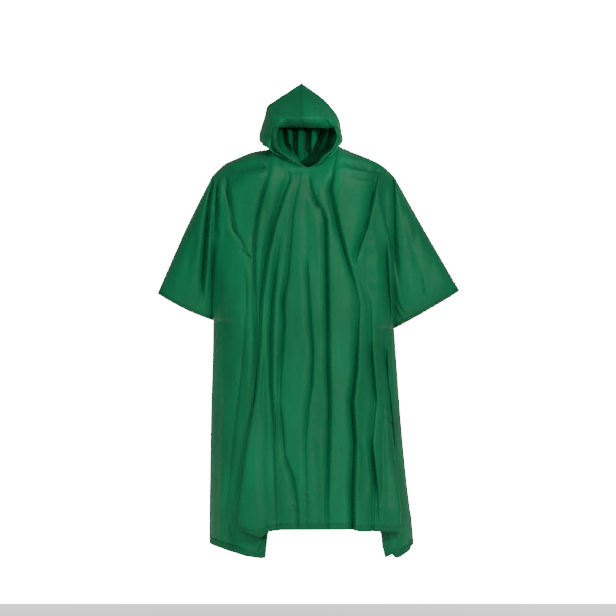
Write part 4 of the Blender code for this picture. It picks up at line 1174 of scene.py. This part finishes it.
def seam_paths():
    """Every sewn seam as a name, a path and whether it closes on itself."""
    points, _, grids = skin_of("front")
    body, left_arm, right_arm = grids.values()
    top = points[body[0]]
    shoulders = {
        "left": (points[left_arm[:0:-1, 0]], top[top[:, 0] < NECK_END["left"][0]]),
        "right": (top[top[:, 0] > NECK_END["right"][0]], points[right_arm[1:, -1]]),
    }
    paths = []
    for hand, edge in EDGE_COLUMN.items():
        side = points[body[len(left_arm) - 1:, edge]]
        for name, path in (("shoulder_seam", np.vstack(shoulders[hand])), ("side_seam", side)):
            paths.append((f"{name}_{hand}", path * (1.0, 0.0, 1.0), False))
    place = np.linspace(0.0, 1.0, NECK_SEAM_POINTS)
    left, right = (neck_point(hand, place)[0] for hand in HANDS)
    paths.append(("neck_seam", np.vstack((left, right[-2:0:-1])), True))
    halves = []
    for hand in HANDS:
        points, _, grid = skin_of(hand)
        halves.append(points[np.concatenate((grid[:, -1], grid[-1, -2::-1]))])
    paths.append(("hood_seam", (halves[0] + halves[1]) / 2, False))
    return paths


# ------------ settings
def length_setting(name, description, default):
    return bpy.props.FloatProperty(name=name, description=description, default=default,
                                   unit="LENGTH", subtype="DISTANCE")


def colour_setting(name, description, default):
    return bpy.props.FloatVectorProperty(name=name, description=description, default=default,
                                         size=3, min=0.0, max=1.0, subtype="COLOR")


class PonchoSizes(bpy.types.PropertyGroup):
    cloth_thickness: length_setting("Cloth thickness", "Thickness of the shell", 0.0005)
    hem_width: length_setting("Hem width", "Width of the turned hem", 0.016)
    face_hem_width: length_setting("Face hem width", "Width of the turned edge round the face", 0.016)
    hem_rise: length_setting("Hem rise", "Clear space between hem and cloth", 0.0002)
    hem_height: length_setting("Hem layer", "Thickness of the turned layer", 0.0007)
    seam_radius: length_setting("Seam radius", "Half the thickness of the seams", 0.0017)
    neck_seam_radius: length_setting(
        "Neck seam radius", "Half the thickness of the seam round the neck", 0.0024)
    stitch_length: length_setting("Stitch length", "Length of one stitch", 0.0034)
    stitch_gap: length_setting("Stitch gap", "Space between stitches", 0.0009)
    thread_width: length_setting("Thread width", "Width of the sewing thread", 0.0008)


class PonchoLooks(bpy.types.PropertyGroup):
    cloth_colour: colour_setting("Cloth colour", "Colour of the coated cloth", (0.0032, 0.1240, 0.0460))
    hem_colour: colour_setting("Hem colour", "Colour of the doubled edges", (0.0026, 0.1060, 0.0390))
    # Darker than the hem colour: painted shade on the edge round the face, under the brim.
    face_hem_colour: colour_setting(
        "Face hem colour", "Colour of the doubled edge round the face, darkened as painted shade", (0.0006, 0.0850, 0.0290))
    thread_colour: colour_setting("Thread colour", "Colour of the stitches", (0.0030, 0.0700, 0.0240))
    floor_colour: colour_setting("Floor colour", "Colour of the floor and backdrop", (0.92, 0.92, 0.92))
    cloth_roughness: bpy.props.FloatProperty(
        name="Cloth roughness", description="How matt the coating is", default=0.43,
        min=0.0, max=1.0, subtype="FACTOR")


# ------------ operators
class PONCHO_OT_panels(bpy.types.Operator):
    """Front and back panels with their sleeves"""

    bl_idname = "poncho.panels"
    bl_label = "Panels"

    def execute(self, context):
        for side in SIDES:
            piece = make_cloth(side, f"{side}_cloth", "coated_cloth", f"{side}_panel", context)
            tidy_mesh(piece.data)
        return {"FINISHED"}


class PONCHO_OT_hood(bpy.types.Operator):
    """Two hood halves, gathered behind"""

    bl_idname = "poncho.hood"
    bl_label = "Hood"

    def execute(self, context):
        for hand in HANDS:
            make_cloth(hand, f"hood_{hand}_cloth", "hood_cloth", f"hood_{hand}", context)
        return {"FINISHED"}


class PONCHO_OT_hems(bpy.types.Operator):
    """Turned hems of the skirt, the sleeves and the face opening"""

    bl_idname = "poncho.hems"
    bl_label = "Hems"

    def execute(self, context):
        sizes = context.scene.poncho_sizes
        looks = context.scene.poncho_looks
        for name, points, faces, strip, _, node in edge_strips(sizes):
            # The edge round the face wears the darker cloth, whose colour holds painted shade under the
            # brim.
            kind = "face_hem_cloth" if "face" in name else "turned_hem_cloth"
            wall = band_on(points, faces, strip, sizes.hem_height, sizes.hem_rise)
            make_piece(name, *wall, cloth_material(kind, looks), "hem_band", node)
        return {"FINISHED"}


class PONCHO_OT_stitches(bpy.types.Operator):
    """Two rows of stitches along each hem"""

    bl_idname = "poncho.stitches"
    bl_label = "Stitches"

    def execute(self, context):
        sizes = context.scene.poncho_sizes
        material = cloth_material("sewing_thread", context.scene.poncho_looks)
        rise = sizes.hem_rise + sizes.hem_height
        for name, points, faces, strip, width, _ in edge_strips(sizes):
            normals = point_normals(points, faces)
            lines = (line_at(strip, points, normals, width * share, rise) for share in STITCH_ROWS)
            (first, first_faces), (second, second_faces) = (
                stitches_along(*line, sizes) for line in lines)
            make_piece(name + "_stitches", np.vstack((first, second)),
                       np.vstack((first_faces, second_faces + len(first))), material, "hem_band")
        return {"FINISHED"}


class PONCHO_OT_seams(bpy.types.Operator):
    """Seams over the shoulders, down the sides, round the neck and over the hood"""

    bl_idname = "poncho.seams"
    bl_label = "Seams"

    def execute(self, context):
        sizes = context.scene.poncho_sizes
        material = cloth_material("coated_green_cloth", context.scene.poncho_looks)
        for name, path, closed in seam_paths():
            radius = sizes.neck_seam_radius if closed else sizes.seam_radius
            make_piece(name, *tube(path, radius, closed), material, "hem_band")
        return {"FINISHED"}


class PONCHO_OT_declare(bpy.types.Operator):
    """Collects each hem and its stitches, and does nothing more with them"""

    bl_idname = "poncho.declare"
    bl_label = "Cloth cuts"

    def execute(self, context):
        objects = bpy.data.objects
        for side in SIDES:
            extras = []
            for edge in ("hem", "left_sleeve_hem", "right_sleeve_hem"):
                extras += [objects[f"{side}_{edge}"], objects[f"{side}_{edge}_stitches"]]
        for hand in HANDS:
            extras = [objects[f"hood_{hand}_face_hem"], objects[f"hood_{hand}_face_hem_stitches"]]
        return {"FINISHED"}


class PONCHO_OT_stage(bpy.types.Operator):
    """Pale floor and backdrop, soft lights and the camera"""

    bl_idname = "poncho.stage"
    bl_label = "Stage"

    FLOOR_DROP = 0.35            # from the lowest corner of the hem to the floor
    FLOOR_HALF = 3.0
    FLOOR_ROUGHNESS = 0.9
    BACKDROP = 16.0              # brightness of the empty studio behind the garment
    AMBIENT = 0.16               # light that it throws on the garment

    def execute(self, context):
        self.add_floor(context.scene.poncho_looks.floor_colour)
        context.scene.world = self.make_world()
        for name, place, size, power in LIGHTS:
            lamp = bpy.data.lights.new(name, "AREA")
            lamp.shape = "SQUARE"
            lamp.size = size
            self.hang(lamp, power, place, LIGHT_TARGET)
        place, target, cone, radius, power = HOOD_LAMP
        lamp = bpy.data.lights.new("hood lamp", "SPOT")
        lamp.spot_size = cone
        lamp.spot_blend = 1.0
        lamp.shadow_soft_size = radius
        self.hang(lamp, power, place, target)
        self.add_camera(context.scene)
        return {"FINISHED"}

    def add_floor(self, tint):
        half = self.FLOOR_HALF
        level = CAD_LOW.z - self.FLOOR_DROP
        corners = ((-half, -half), (half, -half), (half, half), (-half, half))
        mesh = bpy.data.meshes.new("floor")
        mesh.from_pydata([(x, y, level) for x, y in corners], [], [(0, 1, 2, 3)])
        material = bpy.data.materials.new("pale_floor")
        material.use_nodes = True
        feed(material.node_tree, material.node_tree.nodes["Principled BSDF"], {
            "Base Color": (*tint, 1.0), "Roughness": self.FLOOR_ROUGHNESS,
        })
        mesh.materials.append(material)
        floor = bpy.data.objects.new("floor", mesh)
        bpy.context.scene.collection.objects.link(floor)

    def make_world(self):
        """A pale studio, bright where it is seen and soft where it lights the cloth."""
        world = bpy.data.worlds.new("studio")
        world.use_nodes = True
        tree = world.node_tree
        seen = add_node(tree, "ShaderNodeLightPath").outputs["Is Camera Ray"]
        strength = add_node(tree, "ShaderNodeMapRange", {
            "Value": seen, "To Min": self.AMBIENT, "To Max": self.BACKDROP,
        })
        feed(tree, tree.nodes["Background"], {
            "Color": (1.0, 1.0, 1.0, 1.0), "Strength": strength.outputs["Result"],
        })
        return world

    @staticmethod
    def hang(lamp, power, place, target):
        """Links a lamp that looks from its place at a target."""
        lamp.energy = power
        light = bpy.data.objects.new(lamp.name, lamp)
        light.location = place
        aim = np.array(target) - place
        yaw = math.atan2(-aim[0], aim[1])
        pitch = math.atan2(aim[2], math.hypot(aim[0], aim[1])) + math.pi / 2
        light.rotation_euler = (pitch, 0.0, yaw)
        light.visible_glossy = lamp.name == "key"
        bpy.context.scene.collection.objects.link(light)

    @staticmethod
    def add_camera(scene):
        camera = bpy.data.cameras.new("camera")
        camera.sensor_width = SENSOR
        camera.lens = SENSOR * CAMERA_DISTANCE / FRAME_WIDTH
        camera.clip_end = VIEW_END
        eye = bpy.data.objects.new("camera", camera)
        eye.location = (FRAME_CENTRE[0], -CAMERA_DISTANCE, FRAME_CENTRE[1])
        eye.rotation_euler = (math.pi / 2, 0.0, 0.0)
        scene.collection.objects.link(eye)
        scene.camera = eye


class PONCHO_PT_panel(bpy.types.Panel):
    bl_label = "Rain Poncho"
    bl_idname = "PONCHO_PT_panel"
    bl_space_type = "VIEW_3D"
    bl_region_type = "UI"
    bl_category = "Poncho"

    def draw(self, context):
        for group in (context.scene.poncho_sizes, context.scene.poncho_looks):
            for label in group.__annotations__:
                self.layout.prop(group, label)
        for operator in OPERATORS:
            self.layout.operator(operator.bl_idname)


OPERATORS = (PONCHO_OT_panels, PONCHO_OT_hood, PONCHO_OT_hems, PONCHO_OT_stitches,
             PONCHO_OT_seams, PONCHO_OT_declare, PONCHO_OT_stage)
CLASSES = (PonchoSizes, PonchoLooks, *OPERATORS, PONCHO_PT_panel)


def register():
    for cls in CLASSES:
        bpy.utils.register_class(cls)
    bpy.types.Scene.poncho_sizes = bpy.props.PointerProperty(type=PonchoSizes)
    bpy.types.Scene.poncho_looks = bpy.props.PointerProperty(type=PonchoLooks)


def unregister():
    del bpy.types.Scene.poncho_looks
    del bpy.types.Scene.poncho_sizes
    for cls in reversed(CLASSES):
        bpy.utils.unregister_class(cls)


def main():
    register()
    bpy.ops.poncho.panels()
    bpy.ops.poncho.hood()
    bpy.ops.poncho.hems()
    bpy.ops.poncho.stitches()
    bpy.ops.poncho.seams()
    bpy.ops.poncho.declare()
    bpy.ops.poncho.stage()


if __name__ == "__main__":
    main()
